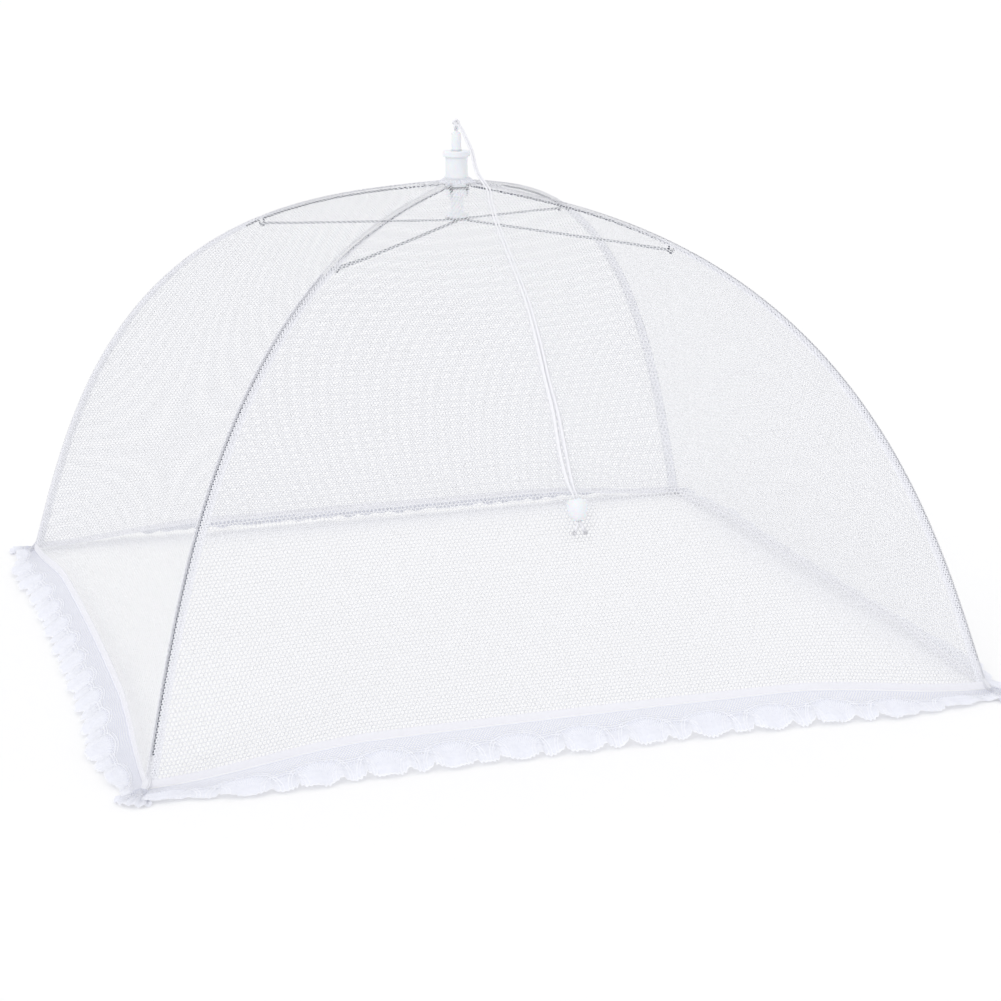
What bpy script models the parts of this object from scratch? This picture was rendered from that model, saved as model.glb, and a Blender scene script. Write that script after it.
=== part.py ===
"""A pop-up net food cover, standing open on a table.

Four spring-wire ribs hinge on a wire ring in a white crown hub. Four hairpin stretchers join the
ribs to a runner under the hub, whose stem a doubled cord pulls up through the hub's bore. A net of
four gores is stretched over the ribs, with taped seams, hem bands, lace frills and corner pockets.
Metres, +Z up, the table at z = 0, the hub's axis on Z, the front side towards -Y.
"""

import math

import bmesh
import bpy
from mathutils import Vector

# Frame
BASE_SIDE = 0.430  # between neighbouring rib tips
TIP_HEIGHT = 0.012  # rib tips over the table
RIB_TOP_SLOPE = math.radians(7)
RIB_TIP_SLOPE = math.radians(70)
WIRE = 0.0011  # ribs and stretchers
RING_WIRE = 0.0010
RING_RADIUS = 0.0062  # both rings, to the wire's centre
GAP = 0.0003  # between pieces that touch

# Rib dip and stretcher
JOINT_ALONG = 0.126  # from the crown ring to the dip, along the rib
JOINT_GAP = 0.0004  # between the dip and the hairpin's closed end
DIP_DEPTH = 0.0024
DIP_BEND = 0.0012
RUNNER_DROP = 0.0170  # runner ring under the crown ring
JOINT_SPREAD = 0.0016  # hairpin leg to the rib's plane, at the dip
JOINT_STRAIGHT = 0.0065
FLARE_LENGTH = 0.022
HAIRPIN_BEND = 0.0009
LEG_SPACING = 0.0015
HUB_OFFSET = 0.0018  # the legs pass the axis on one side
HOOK_TURN = math.radians(40)
EYE_START = math.radians(340)

# Crown hub
BORE_RADIUS = 0.0031
FLANGE_RADIUS = 0.0075
FLANGE_THICKNESS = 0.0032
FLANGE_EDGE = 0.0005
COLLAR_RADIUS = 0.0061
COLLAR_FOOT_RADIUS = 0.0067
COLLAR_FLARE = 0.0080  # height over the ring at which the collar starts to widen
CROWN_HEIGHT = 0.0199  # over the ring
CROWN_DEPTH = 0.0050  # under the ring
CROWN_LIP_RADIUS = 0.0065
RIB_SLOT_SIDE = 0.0004  # on each side of the wire

# Runner
STEM_RADIUS = 0.0027
STEM_TOP = 0.0293  # over the crown ring
SHOULDER = 0.0012
NECK_RADIUS = 0.0011
EYE_BALL_RADIUS = 0.0015
EYE_THIN_SHARE = 0.6
BEAD_RADIUS = 0.0029
BEAD_HEIGHT = 0.0006
BOSS_RADIUS = 0.0036
RUNNER_FLANGE = 0.0018  # over the groove
RUNNER_LIP = 0.0008  # under the groove
RUNNER_LIP_RADIUS = 0.0063
RUNNER_SLOT_FLOOR = 0.0030
RUNNER_SLOT_SIDE = 0.0003

# Net and trimmings
NET = 0.0005
TAPE = 0.0006
TAPE_HALF_WIDTH = 0.0020
HEM = 0.0010
HEM_HEIGHT = 0.0060
HEM_END_GAP = 0.0034  # from the rib's plane
SEW_GAP = 0.0005
NET_TOP_RADIUS = 0.0094
ROUND_FADE = 0.040  # from the round top to the flat sides
SAG_SHARE = 0.036  # inward at mid panel, of the reach
HEM_TAUT_SHARE = 0.6  # of the sag, held back by the bound hem
TAUT_FADE = 8  # power of the share of the rib's length
PLEAT_DEPTH = 0.0008
PLEAT_FADE = 0.025
PLEATS = 3
PANEL_ROWS = 15
PANEL_COLUMNS = 12
ROW_GROWTH = 1.4  # power: the rows are closer at the top
TAPE_ROWS = 23
LACE = 0.0005
LACE_WIDTH = 0.0245
LACE_CURVE = 1.4  # power: the lace falls fast, then runs out flat
LACE_REST = 0.0018  # its edge over the table
LACE_TURN = math.radians(30)  # of its ends, towards the corner
LACE_TUCK_SHARE = 0.45  # of its run, drawn in at its ends
LACE_END_LENGTH = 0.045  # over which both fade
SCALLOPS = 13
SCALLOP_COLUMNS = 4
SCALLOP_SHARE = 0.20
RUFFLE = 0.0010
GATHER_BOTTOM = 0.0024  # over the ring
GATHER_HEIGHT = 0.0028
GATHER_THICKNESS = 0.0018
GATHER_WAVES = 12
GATHER_WAVE = 0.0003

# Corner pocket
POCKET_SLEEVE = 0.0060
POCKET_HALF_WIDTH = 0.0023
POCKET_HALF_THICKNESS = 0.0020
POCKET_NECK = 0.0030  # past the rib's tip
POCKET_NECK_HALF_WIDTH = 0.0014
TAIL_LENGTH = 0.027
TAIL_HALF_WIDTH = 0.0075
TAIL_THICKNESS = 0.0011

# Pull cord
CORD = 0.0011
CORD_SPACING = 0.0005
CORD_STEP = 0.0099  # between the points of its route
KNOT_RADIUS = 0.0013
LOOP_WIDTH = 0.0019
BELL_RADIUS = 0.0051
BELL_HEIGHT = 0.0108
BELL_EDGE = 0.0008
BELL_SHAPE_SHARES = (
    (0.62, 0.0), (0.88, -0.06), (0.98, -0.20), (1.0, -0.36), (0.97, -0.55), (0.86, -0.74), (0.70, -0.88),
)  # of its radius and height, from the top
TAIL_DROP = 0.0048
TAIL_SPREAD = 3  # of the ends, in the strands' own spacing
# From the knot over the flange: radius, share of the quarter turn, height over the crown ring
CORD_DROP = (
    (0.00145, 0.880, 0.0342),
    (0.0034, 0.870, 0.0324),
    (0.0058, 0.860, 0.0292),
    (0.0088, 0.840, 0.0246),
    (0.0117, 0.830, 0.0199),
    (0.0160, 0.800, 0.0098),
)
# On the net: share of the rib's length, share across the front panel, rise off it, half spread
CORD_LAY = (
    (0.045, 0.770, 0.0014, 0.0008),
    (0.082, 0.670, 0.0007, 0.0008),
    (0.125, 0.590, 0.0001, 0.0008),
    (0.170, 0.545, 0.0, 0.0008),
    (0.234, 0.516, 0.0, 0.0008),
    (0.341, 0.505, 0.0, 0.0008),
    (0.426, 0.508, 0.0, 0.0009),
    (0.501, 0.508, 0.0, 0.0010),
    (0.566, 0.508, 0.0, 0.0010),
    (0.612, 0.511, 0.0001, 0.0012),
    (0.655, 0.511, 0.0004, 0.0015),
    (0.685, 0.511, 0.0016, 0.0015),
    (0.714, 0.512, 0.0036, 0.0011),
)
BELL_ALONG_SHARE = 0.736
BELL_ACROSS_SHARE = 0.516

RIB_NAMES = ("front_left", "front_right", "back_right", "back_left")
PANEL_NAMES = ("front", "right", "back", "left")
FIRST_RIB = math.radians(-135)
QUARTER = math.radians(90)
TURN_STEPS = 24
SMOOTH_ANGLE = math.radians(35)
OVERRUN = 0.0010  # of every cutter

EYE_RADIUS = RING_WIRE / 2 + GAP + WIRE / 2
RING_GROOVE = RING_WIRE / 2 + GAP
CLOTH_LIFT = (WIRE / 2 + GAP + TAPE / 2) * math.sqrt(2)

MATERIALS = {
    "spring_wire": ((0.20, 0.21, 0.24), 0.32, 1.0),
    "white_plastic": ((0.86, 0.88, 0.92), 0.38, 0.0),
    "white_net": ((0.87, 0.88, 0.95), 0.75, 0.0),
    "white_tape": ((0.90, 0.90, 0.96), 0.80, 0.0),
    "white_lace": ((0.90, 0.89, 0.96), 0.82, 0.0),
    "white_cord": ((0.92, 0.92, 0.95), 0.70, 0.0),
}


# Scene and materials


def clear_scene():
    for thing in list(bpy.data.objects):
        bpy.data.objects.remove(thing, do_unlink=True)


def make_collection(title):
    group = bpy.data.collections.new(title)
    bpy.context.scene.collection.children.link(group)
    return group


def make_material(title):
    colour, roughness, metallic = MATERIALS[title]
    material = bpy.data.materials.new(title)
    material.use_nodes = True
    shader = material.node_tree.nodes["Principled BSDF"]
    shader.inputs["Base Color"].default_value = (*colour, 1.0)
    shader.inputs["Roughness"].default_value = roughness
    shader.inputs["Metallic"].default_value = metallic
    material.diffuse_color = (*colour, 1.0)
    return material


clear_scene()
PARTS = make_collection("food_cover_net")
CUTTERS = make_collection("food_cover_cutters")
FINISH = {title: make_material(title) for title in MATERIALS}


# The rib's line, in its own plane: x out from the crown ring, z up from it


def ease(share):
    share = min(max(share, 0.0), 1.0)
    return share * share * (3 - 2 * share)


def unit_rib(steps):
    """Reach and drop along a rib of length 1, whose slope eases from its top to its tip."""
    line = [(0.0, 0.0)]
    for step in range(steps):
        slope = RIB_TOP_SLOPE + (RIB_TIP_SLOPE - RIB_TOP_SLOPE) * ease((step + 0.5) / steps)
        reach, drop = line[-1]
        line.append((reach + math.cos(slope) / steps, drop + math.sin(slope) / steps))
    return line


UNIT_RIB = unit_rib(240)
RIB_LENGTH = (BASE_SIDE / math.sqrt(2) - RING_RADIUS) / UNIT_RIB[-1][0]
CROWN_Z = TIP_HEIGHT + UNIT_RIB[-1][1] * RIB_LENGTH - EYE_RADIUS


def rib_slope(along):
    return RIB_TOP_SLOPE + (RIB_TIP_SLOPE - RIB_TOP_SLOPE) * ease(along / RIB_LENGTH)


def rib_at(along, lift=0.0):
    """Point of the rib's line, from the crown ring's wire, lifted out of its own centre."""
    steps = len(UNIT_RIB) - 1
    place = min(max(along / RIB_LENGTH, 0.0), 1.0) * steps
    index = min(int(place), steps - 1)
    part = place - index
    reach = UNIT_RIB[index][0] * (1 - part) + UNIT_RIB[index + 1][0] * part
    drop = UNIT_RIB[index][1] * (1 - part) + UNIT_RIB[index + 1][1] * part
    beyond = max(along - RIB_LENGTH, 0.0)
    slope = rib_slope(along)
    x = reach * RIB_LENGTH + math.cos(slope) * beyond + math.sin(slope) * lift
    z = EYE_RADIUS - drop * RIB_LENGTH - math.sin(slope) * beyond + math.cos(slope) * lift
    return x, z


def joint_in_rib():
    """The stretcher's pivot, in the rib's plane."""
    slope = rib_slope(JOINT_ALONG)
    x, z = rib_at(JOINT_ALONG)
    return x - math.sin(slope) * DIP_DEPTH, z - math.cos(slope) * DIP_DEPTH


# The net's surface between two ribs, at 0 and 90 degrees, from the crown ring's centre


def canopy_point(along, across, lift=0.0):
    bow = 4 * across * (1 - across)
    reach, height = rib_at(along, CLOTH_LIFT + lift)
    radius = RING_RADIUS + reach
    flat = ease((radius - NET_TOP_RADIUS) / ROUND_FADE)
    taut = HEM_TAUT_SHARE * (along / RIB_LENGTH) ** TAUT_FADE
    inward = SAG_SHARE * (1 - taut) * radius * bow * flat / math.sqrt(2)
    turn = across * QUARTER
    x = radius * (math.cos(turn) * (1 - flat) + (1 - across) * flat) - inward
    y = radius * (math.sin(turn) * (1 - flat) + across * flat) - inward
    return x, y, height


def across_at(along, distance):
    """Share across the panel at a distance from the first rib's plane."""
    low, high = 0.0, 0.5
    for _ in range(30):
        middle = (low + high) / 2
        if canopy_point(along, middle)[1] < distance:
            low = middle
        else:
            high = middle
    return low


def top_along():
    """Length along the rib at which the cloth starts, outside the gather."""
    return (NET_TOP_RADIUS - RING_RADIUS) / math.cos(RIB_TOP_SLOPE)


# Objects


def link(thing, material, parent):
    if not thing.data.materials:
        thing.data.materials.append(FINISH[material])
    thing.parent = parent
    PARTS.objects.link(thing)
    return thing


def frame_at(name, parent, location, turn=0.0):
    """An empty on a joint's axis, or at a sub-assembly's origin."""
    empty = bpy.data.objects.new(name, None)
    empty.empty_display_size = RING_RADIUS
    empty.location = location
    empty.rotation_euler = (0.0, 0.0, turn)
    empty.parent = parent
    PARTS.objects.link(empty)
    return empty


def as_cutter(thing, parent):
    thing.hide_render = True
    thing.display_type = "WIRE"
    thing.parent = parent
    CUTTERS.objects.link(thing)
    return thing


def combine(thing, operation, other):
    step = thing.modifiers.new(operation.lower(), "BOOLEAN")
    step.operation = operation
    step.object = other


def smooth(thing):
    thing.data.shade_smooth()
    thing.data.set_sharp_from_angle(angle=SMOOTH_ANGLE)


def wire_curve(name, points, diameter):
    """Curve data of a round wire through the points."""
    curve = bpy.data.curves.new(name, "CURVE")
    curve.dimensions = "3D"
    curve.bevel_depth = diameter / 2
    curve.bevel_resolution = 2
    curve.use_fill_caps = True
    spline = curve.splines.new("POLY")
    spline.points.add(len(points) - 1)
    for knot, point in zip(spline.points, points):
        knot.co = (*point, 1.0)
    return curve


def wire(name, points, diameter, material, parent):
    return link(bpy.data.objects.new(name, wire_curve(name, points, diameter)), material, parent)


def mesh_of_wire(name, points, diameter):
    """A wire as a welded mesh, for joining to another piece."""
    guide = bpy.data.objects.new(name, wire_curve(name, points, diameter))
    bpy.context.scene.collection.objects.link(guide)
    graph = bpy.context.evaluated_depsgraph_get()
    mesh = bpy.data.meshes.new_from_object(guide.evaluated_get(graph))
    bpy.data.objects.remove(guide, do_unlink=True)
    bm = bmesh.new()
    bm.from_mesh(mesh)
    bmesh.ops.remove_doubles(bm, verts=bm.verts, dist=GAP / TURN_STEPS)
    bmesh.ops.recalc_face_normals(bm, faces=bm.faces)
    bm.to_mesh(mesh)
    bm.free()
    return mesh


def turned(name, profile, material, parent):
    """A turned piece: a profile that runs down its outer side, spun about Z."""
    mesh = bpy.data.meshes.new(name)
    count = len(profile)
    closed = profile[0][0] > 0
    edges = [(i, (i + 1) % count) for i in range(count if closed else count - 1)]
    mesh.from_pydata([(radius, 0.0, height) for radius, height in profile], edges, [])
    thing = link(bpy.data.objects.new(name, mesh), material, parent)
    screw = thing.modifiers.new("turn", "SCREW")
    screw.steps = TURN_STEPS
    screw.render_steps = TURN_STEPS
    screw.use_merge_vertices = True
    screw.merge_threshold = GAP / TURN_STEPS
    return thing


def ball(name, radii, centre):
    """A ball, flattened by its three radii."""
    mesh = bpy.data.meshes.new(name)
    bm = bmesh.new()
    bmesh.ops.create_uvsphere(bm, u_segments=12, v_segments=8, radius=1.0)
    for vert in bm.verts:
        vert.co = Vector(c + v * r for c, v, r in zip(centre, vert.co, radii))
    bm.to_mesh(mesh)
    bm.free()
    return bpy.data.objects.new(name, mesh)


def box_cutter(name, low, high, turns, parent):
    """A cutter of boxes between two corners, one at each turn about Z."""
    mesh = bpy.data.meshes.new(name)
    bm = bmesh.new()
    for turn in turns:
        for vert in bmesh.ops.create_cube(bm, size=1.0)["verts"]:
            x, y, z = (a + (b - a) * (share + 0.5) for a, b, share in zip(low, high, vert.co))
            vert.co = (x * math.cos(turn) - y * math.sin(turn), x * math.sin(turn) + y * math.cos(turn), z)
    bm.to_mesh(mesh)
    bm.free()
    return as_cutter(bpy.data.objects.new(name, mesh), parent)


def rod_cutter(name, radius, start, end, parent):
    """A round cutter from one point to another."""
    way = Vector(end) - Vector(start)
    mesh = bpy.data.meshes.new(name)
    bm = bmesh.new()
    bmesh.ops.create_cone(
        bm, cap_ends=True, segments=TURN_STEPS // 2, radius1=radius, radius2=radius, depth=way.length
    )
    bm.to_mesh(mesh)
    bm.free()
    rod = as_cutter(bpy.data.objects.new(name, mesh), parent)
    rod.rotation_euler = way.to_track_quat("Z", "Y").to_euler()
    rod.location = (Vector(start) + Vector(end)) / 2
    return rod


def loft(name, rings, closed, material, parent):
    """A skin over rings of points: closed on itself, or with flat ends."""
    count = len(rings[0])
    points = [point for ring in rings for point in ring]
    faces = []
    for i in range(len(rings) if closed else len(rings) - 1):
        near = i * count
        far = (i + 1) % len(rings) * count
        for j in range(count):
            after = (j + 1) % count
            faces.append((near + j, near + after, far + after, far + j))
    if not closed:
        faces.append(tuple(range(count)))
        faces.append(tuple(far + j for j in range(count)))
    mesh = bpy.data.meshes.new(name)
    mesh.from_pydata(points, [], faces)
    bm = bmesh.new()
    bm.from_mesh(mesh)
    bmesh.ops.recalc_face_normals(bm, faces=bm.faces)
    bm.to_mesh(mesh)
    bm.free()
    thing = link(bpy.data.objects.new(name, mesh), material, parent)
    smooth(thing)
    return thing


def sheet_mesh(name, rows):
    """An open sheet through rows of points, its outer face up."""
    across = len(rows[0])
    faces = []
    for i in range(len(rows) - 1):
        for j in range(across - 1):
            corner = i * across + j
            faces.append((corner, corner + across, corner + across + 1, corner + 1))
    mesh = bpy.data.meshes.new(name)
    mesh.from_pydata([point for row in rows for point in row], [], faces)
    return mesh


def cloth(name, mesh, thickness, material, parent, turn):
    """A sheet of cloth with its thickness, turned to its own side."""
    thing = link(bpy.data.objects.new(name, mesh), material, parent)
    thing.rotation_euler = (0.0, 0.0, turn)
    shell = thing.modifiers.new("thickness", "SOLIDIFY")
    shell.thickness = thickness
    shell.offset = 0.0
    shell.use_even_offset = True
    smooth(thing)
    return thing


def arc(centre, radius, start, end, steps):
    """Points of an arc in a plane, both ends included."""
    turns = [start + (end - start) * k / steps for k in range(steps + 1)]
    return [(centre[0] + radius * math.cos(t), centre[1] + radius * math.sin(t)) for t in turns]


def smooth_route(points, spacing):
    """Points about a spacing apart on a smooth curve through the given ones."""
    knots = [Vector(point) for point in points]
    knots = [knots[0] * 2 - knots[1], *knots, knots[-1] * 2 - knots[-2]]
    route = []
    for before, start, end, after in zip(knots, knots[1:], knots[2:], knots[3:]):
        steps = max(1, round((end - start).length / spacing))
        for t in (k / steps for k in range(steps)):
            straight = start * 2 + (end - before) * t
            bend = (before * 2 - start * 5 + end * 4 - after) * t * t
            twist = (start * 3 - before - end * 3 + after) * t * t * t
            route.append((straight + bend + twist) / 2)
    return [*route, knots[-2]]


def rib_turns():
    return [FIRST_RIB + QUARTER * k for k in range(len(RIB_NAMES))]


# Crown hub and rings


def make_crown_hub(crown):
    flange_foot = CROWN_HEIGHT - FLANGE_THICKNESS
    chamfer = CROWN_LIP_RADIUS - COLLAR_RADIUS
    floor = RING_RADIUS - RING_GROOVE
    profile = [
        (BORE_RADIUS, CROWN_HEIGHT),
        (FLANGE_RADIUS - FLANGE_EDGE, CROWN_HEIGHT),
        (FLANGE_RADIUS, CROWN_HEIGHT - FLANGE_EDGE),
        (FLANGE_RADIUS, flange_foot + FLANGE_EDGE),
        (FLANGE_RADIUS - FLANGE_EDGE, flange_foot),
        (COLLAR_RADIUS, flange_foot - FLANGE_EDGE),
        (COLLAR_RADIUS, COLLAR_FLARE),
        (COLLAR_FOOT_RADIUS, RING_GROOVE),
        (floor, RING_GROOVE),
        (floor, -RING_GROOVE),
        (CROWN_LIP_RADIUS, -RING_GROOVE),
        (CROWN_LIP_RADIUS, chamfer - CROWN_DEPTH),
        (CROWN_LIP_RADIUS - chamfer, -CROWN_DEPTH),
        (BORE_RADIUS, -CROWN_DEPTH),
    ]
    hub = turned("crown_hub", profile, "white_plastic", crown)
    half = WIRE / 2 + RIB_SLOT_SIDE
    swing = EYE_RADIUS + WIRE / 2 + GAP
    low = (RING_RADIUS - swing, -half, -CROWN_DEPTH - OVERRUN)
    high = (COLLAR_FOOT_RADIUS + OVERRUN, half, swing)
    combine(hub, "DIFFERENCE", box_cutter("rib_slots", low, high, rib_turns(), crown))


def make_ring(name, parent):
    """A wire ring whose butt ends meet clear of the slots."""
    opening = RING_WIRE / RING_RADIUS / 2
    points = arc((0.0, 0.0), RING_RADIUS, opening, 2 * math.pi - opening, 28)
    wire(name, [(x, y, 0.0) for x, y in points], RING_WIRE, "spring_wire", parent)


# Runner


def eye_height():
    """The cord's eye over the crown ring."""
    return STEM_TOP + SHOULDER + EYE_BALL_RADIUS


def make_runner(runner_frame):
    """Stem, boss and ring flange in one moulding, with the cord's eye on top."""
    boss_top = RUNNER_DROP - CROWN_DEPTH - GAP
    flange_top = RING_GROOVE + RUNNER_FLANGE
    top = RUNNER_DROP + STEM_TOP
    bead = RUNNER_DROP + CROWN_HEIGHT + GAP
    bottom = -RING_GROOVE - RUNNER_LIP
    floor = RING_RADIUS - RING_GROOVE
    eye = RUNNER_DROP + eye_height()
    hole_radius = CORD / 2 + GAP
    neck_top = eye - hole_radius - GAP
    profile = [
        (0.0, neck_top),
        (NECK_RADIUS, neck_top),
        (NECK_RADIUS, top + SHOULDER),
        (STEM_RADIUS, top),
        (STEM_RADIUS, bead + BEAD_HEIGHT * 2),
        (BEAD_RADIUS, bead + BEAD_HEIGHT),
        (STEM_RADIUS, bead),
        (STEM_RADIUS, boss_top),
        (BOSS_RADIUS, boss_top),
        (BOSS_RADIUS, flange_top + FLANGE_EDGE),
        (BOSS_RADIUS + FLANGE_EDGE, flange_top),
        (RUNNER_LIP_RADIUS, flange_top),
        (RUNNER_LIP_RADIUS, RING_GROOVE),
        (floor, RING_GROOVE),
        (floor, -RING_GROOVE),
        (RUNNER_LIP_RADIUS, -RING_GROOVE),
        (RUNNER_LIP_RADIUS, bottom),
        (0.0, bottom),
    ]
    runner = turned("runner", profile, "white_plastic", runner_frame)
    eye_frame = frame_at("cord_eye_frame", runner_frame, (0.0, 0.0, eye), FIRST_RIB)
    radii = (EYE_BALL_RADIUS * EYE_THIN_SHARE, EYE_BALL_RADIUS, EYE_BALL_RADIUS)
    combine(runner, "UNION", as_cutter(ball("eye_ball", radii, (0.0, 0.0, 0.0)), eye_frame))
    reach = EYE_BALL_RADIUS + OVERRUN
    hole = rod_cutter("cord_eye", hole_radius, (-reach, 0.0, 0.0), (reach, 0.0, 0.0), eye_frame)
    combine(runner, "DIFFERENCE", hole)
    side = LEG_SPACING / 2 + WIRE / 2 + RUNNER_SLOT_SIDE
    low = (RUNNER_SLOT_FLOOR, HUB_OFFSET - side, bottom - OVERRUN)
    high = (RUNNER_LIP_RADIUS + OVERRUN, HUB_OFFSET + side, RING_GROOVE)
    combine(runner, "DIFFERENCE", box_cutter("stretcher_slots", low, high, rib_turns(), runner_frame))
    return eye_frame


# Ribs and stretchers


def dip_points():
    """The U-shaped dip: along the rib and inward from it, about the dip's middle."""
    radius = WIRE + JOINT_GAP
    away = radius + DIP_BEND
    down = arc((-away, DIP_BEND), DIP_BEND, -QUARTER, 0.0, 3)
    under = arc((0.0, DIP_DEPTH), radius, 2 * QUARTER, 0.0, 6)
    back = arc((away, DIP_BEND), DIP_BEND, 2 * QUARTER, 3 * QUARTER, 3)
    return down + under + back


def rib_points():
    """The whole rib: its eye round the crown ring, its line and its dip."""
    eye = arc((0.0, 0.0), EYE_RADIUS, EYE_START, QUARTER - RIB_TOP_SLOPE, 9)
    slope = rib_slope(JOINT_ALONG)
    x, z = rib_at(JOINT_ALONG)
    forward = (math.cos(slope), -math.sin(slope))
    inward = (-math.sin(slope), -math.cos(slope))
    dip = [(x + forward[0] * t + inward[0] * n, z + forward[1] * t + inward[1] * n) for t, n in dip_points()]
    near = [rib_at(JOINT_ALONG * k / 7) for k in range(1, 7)]
    start = JOINT_ALONG + WIRE + JOINT_GAP + DIP_BEND
    far = [rib_at(start + (RIB_LENGTH - start) * k / 16) for k in range(1, 17)]
    return [(x, 0.0, z) for x, z in eye + near + dip + far]


def leg_sides(distance):
    """Where the two legs lie, to the side of the rib's plane, from the closed end to the hub."""
    share = ease((distance - JOINT_STRAIGHT) / FLARE_LENGTH)
    half = JOINT_SPREAD + (LEG_SPACING / 2 - JOINT_SPREAD) * share
    shift = HUB_OFFSET * share
    return shift + half, shift - half


def stretcher_points():
    """One wire, folded at the rib's dip, its ends hooked under the runner ring."""
    pivot_x, pivot_z = joint_in_rib()
    ring = Vector((-pivot_x, -RUNNER_DROP - pivot_z))
    hook = arc(ring, EYE_RADIUS, -QUARTER - HOOK_TURN, -QUARTER, 2)
    end = Vector(hook[-1])
    way = end.normalized()
    flare = [JOINT_STRAIGHT + FLARE_LENGTH * (1 - k / 4) for k in range(5)]
    legs = []
    for side in range(2):
        leg = [(x, leg_sides(end.length)[side], z) for x, z in hook]
        leg += [(way.x * d, leg_sides(d)[side], way.y * d) for d in flare]
        legs.append(leg)
    corner = arc((HAIRPIN_BEND, JOINT_SPREAD - HAIRPIN_BEND), HAIRPIN_BEND, QUARTER, 2 * QUARTER, 3)
    closed_end = corner + [(d, -side) for d, side in reversed(corner)]
    fold = [(way.x * d, side, way.y * d) for d, side in closed_end]
    return legs[0] + fold + legs[1][::-1]


# Cloth


def make_panels(crown):
    start = top_along()
    length = RIB_LENGTH - HEM_HEIGHT - GAP - start
    rows = []
    for row in range(PANEL_ROWS + 1):
        along = start + length * (row / PANEL_ROWS) ** ROW_GROWTH
        edge = across_at(along, TAPE_HALF_WIDTH + GAP)
        fade = 1 - ease((along - start) / PLEAT_FADE)
        points = []
        for column in range(PANEL_COLUMNS + 1):
            share = column / PANEL_COLUMNS
            pleat = PLEAT_DEPTH * fade * (1 - math.cos(2 * math.pi * PLEATS * share)) / 2
            points.append(canopy_point(along, edge + (1 - 2 * edge) * share, pleat))
        rows.append(points)
    mesh = sheet_mesh("net_panel", rows)
    for name, turn in zip(PANEL_NAMES, rib_turns()):
        cloth(f"net_panel_{name}", mesh, NET, "white_net", crown, turn)


def seam_tape_mesh():
    """The tape over a rib, its two halves on the two panels, from the rib's hinge."""
    start = top_along()
    length = RIB_LENGTH - HEM_HEIGHT - GAP - start
    rows = []
    for row in range(TAPE_ROWS + 1):
        along = start + length * row / TAPE_ROWS
        half = []
        for k in range(3):
            x, y, z = canopy_point(along, across_at(along, TAPE_HALF_WIDTH * k / 2))
            half.append((x - RING_RADIUS, y, z))
        rows.append([(x, -y, z) for x, y, z in reversed(half[1:])] + half)
    return sheet_mesh("seam_tape", rows)


def make_hem_bands(crown):
    rows = []
    for along in (RIB_LENGTH - HEM_HEIGHT, RIB_LENGTH):
        edge = across_at(along, HEM_END_GAP)
        shares = [edge + (1 - 2 * edge) * k / PANEL_COLUMNS for k in range(PANEL_COLUMNS + 1)]
        rows.append([canopy_point(along, share) for share in shares])
    mesh = sheet_mesh("hem_band", rows)
    for name, turn in zip(PANEL_NAMES, rib_turns()):
        cloth(f"hem_band_{name}", mesh, HEM, "white_tape", crown, turn)


def lace_end(x, y):
    """1 at the two ends of the lace, fading to 0 along it."""
    return 1 - ease(min(x, y) / LACE_END_LENGTH)


def lace_direction(x, y):
    """The lace falls square to its side, and turns towards the corner at both ends."""
    turn = LACE_TURN * lace_end(x, y)
    return QUARTER / 2 + (turn if x < y else -turn)


def make_lace(crown):
    """A scalloped, ruffled frill that runs out and down from the hem to the table."""
    columns = SCALLOPS * SCALLOP_COLUMNS
    edge = across_at(RIB_LENGTH, HEM_END_GAP)
    hem = RIB_LENGTH + SEW_GAP
    rows = []
    for row in range(3):
        points = []
        for column in range(columns + 1):
            share = column / columns
            scallop = abs(math.sin(math.pi * SCALLOPS * share))
            down = row / 2 * (1 - SCALLOP_SHARE * (1 - scallop))
            x, y, z = canopy_point(hem, edge + (1 - 2 * edge) * share)
            fall = min(z + CROWN_Z - LACE_REST, LACE_WIDTH)
            run = math.sqrt(LACE_WIDTH**2 - fall**2) * down * (1 - LACE_TUCK_SHARE * lace_end(x, y))
            turn = lace_direction(x, y)
            wave = RUFFLE * down * math.sin(2 * math.pi * SCALLOPS * share)
            height = z - fall * (1 - (1 - down) ** LACE_CURVE) + wave
            points.append((x + run * math.cos(turn), y + run * math.sin(turn), height))
        rows.append(points)
    mesh = sheet_mesh("lace", rows)
    for name, turn in zip(PANEL_NAMES, rib_turns()):
        cloth(f"lace_{name}", mesh, LACE, "white_lace", crown, turn)


def make_gather(crown):
    """The net's top edge, drawn in round the collar: a waved ring."""
    inner = COLLAR_FOOT_RADIUS + GAP
    half = GATHER_THICKNESS / 2
    steps = GATHER_WAVES * 4
    middle = GATHER_BOTTOM + GATHER_HEIGHT / 2
    rings = []
    for step in range(steps):
        turn = 2 * math.pi * step / steps
        swell = half + GATHER_WAVE * math.sin(turn * GATHER_WAVES)
        section = []
        for angle in (2 * math.pi * k / 6 for k in range(6)):
            outward = math.cos(angle)
            radius = inner + half + (swell if outward > 0 else half) * outward
            height = middle + GATHER_HEIGHT / 2 * math.sin(angle)
            section.append((radius * math.cos(turn), radius * math.sin(turn), height))
        rings.append(section)
    loft("crown_gather", rings, True, "white_net", crown)


# Corner pocket


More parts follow.
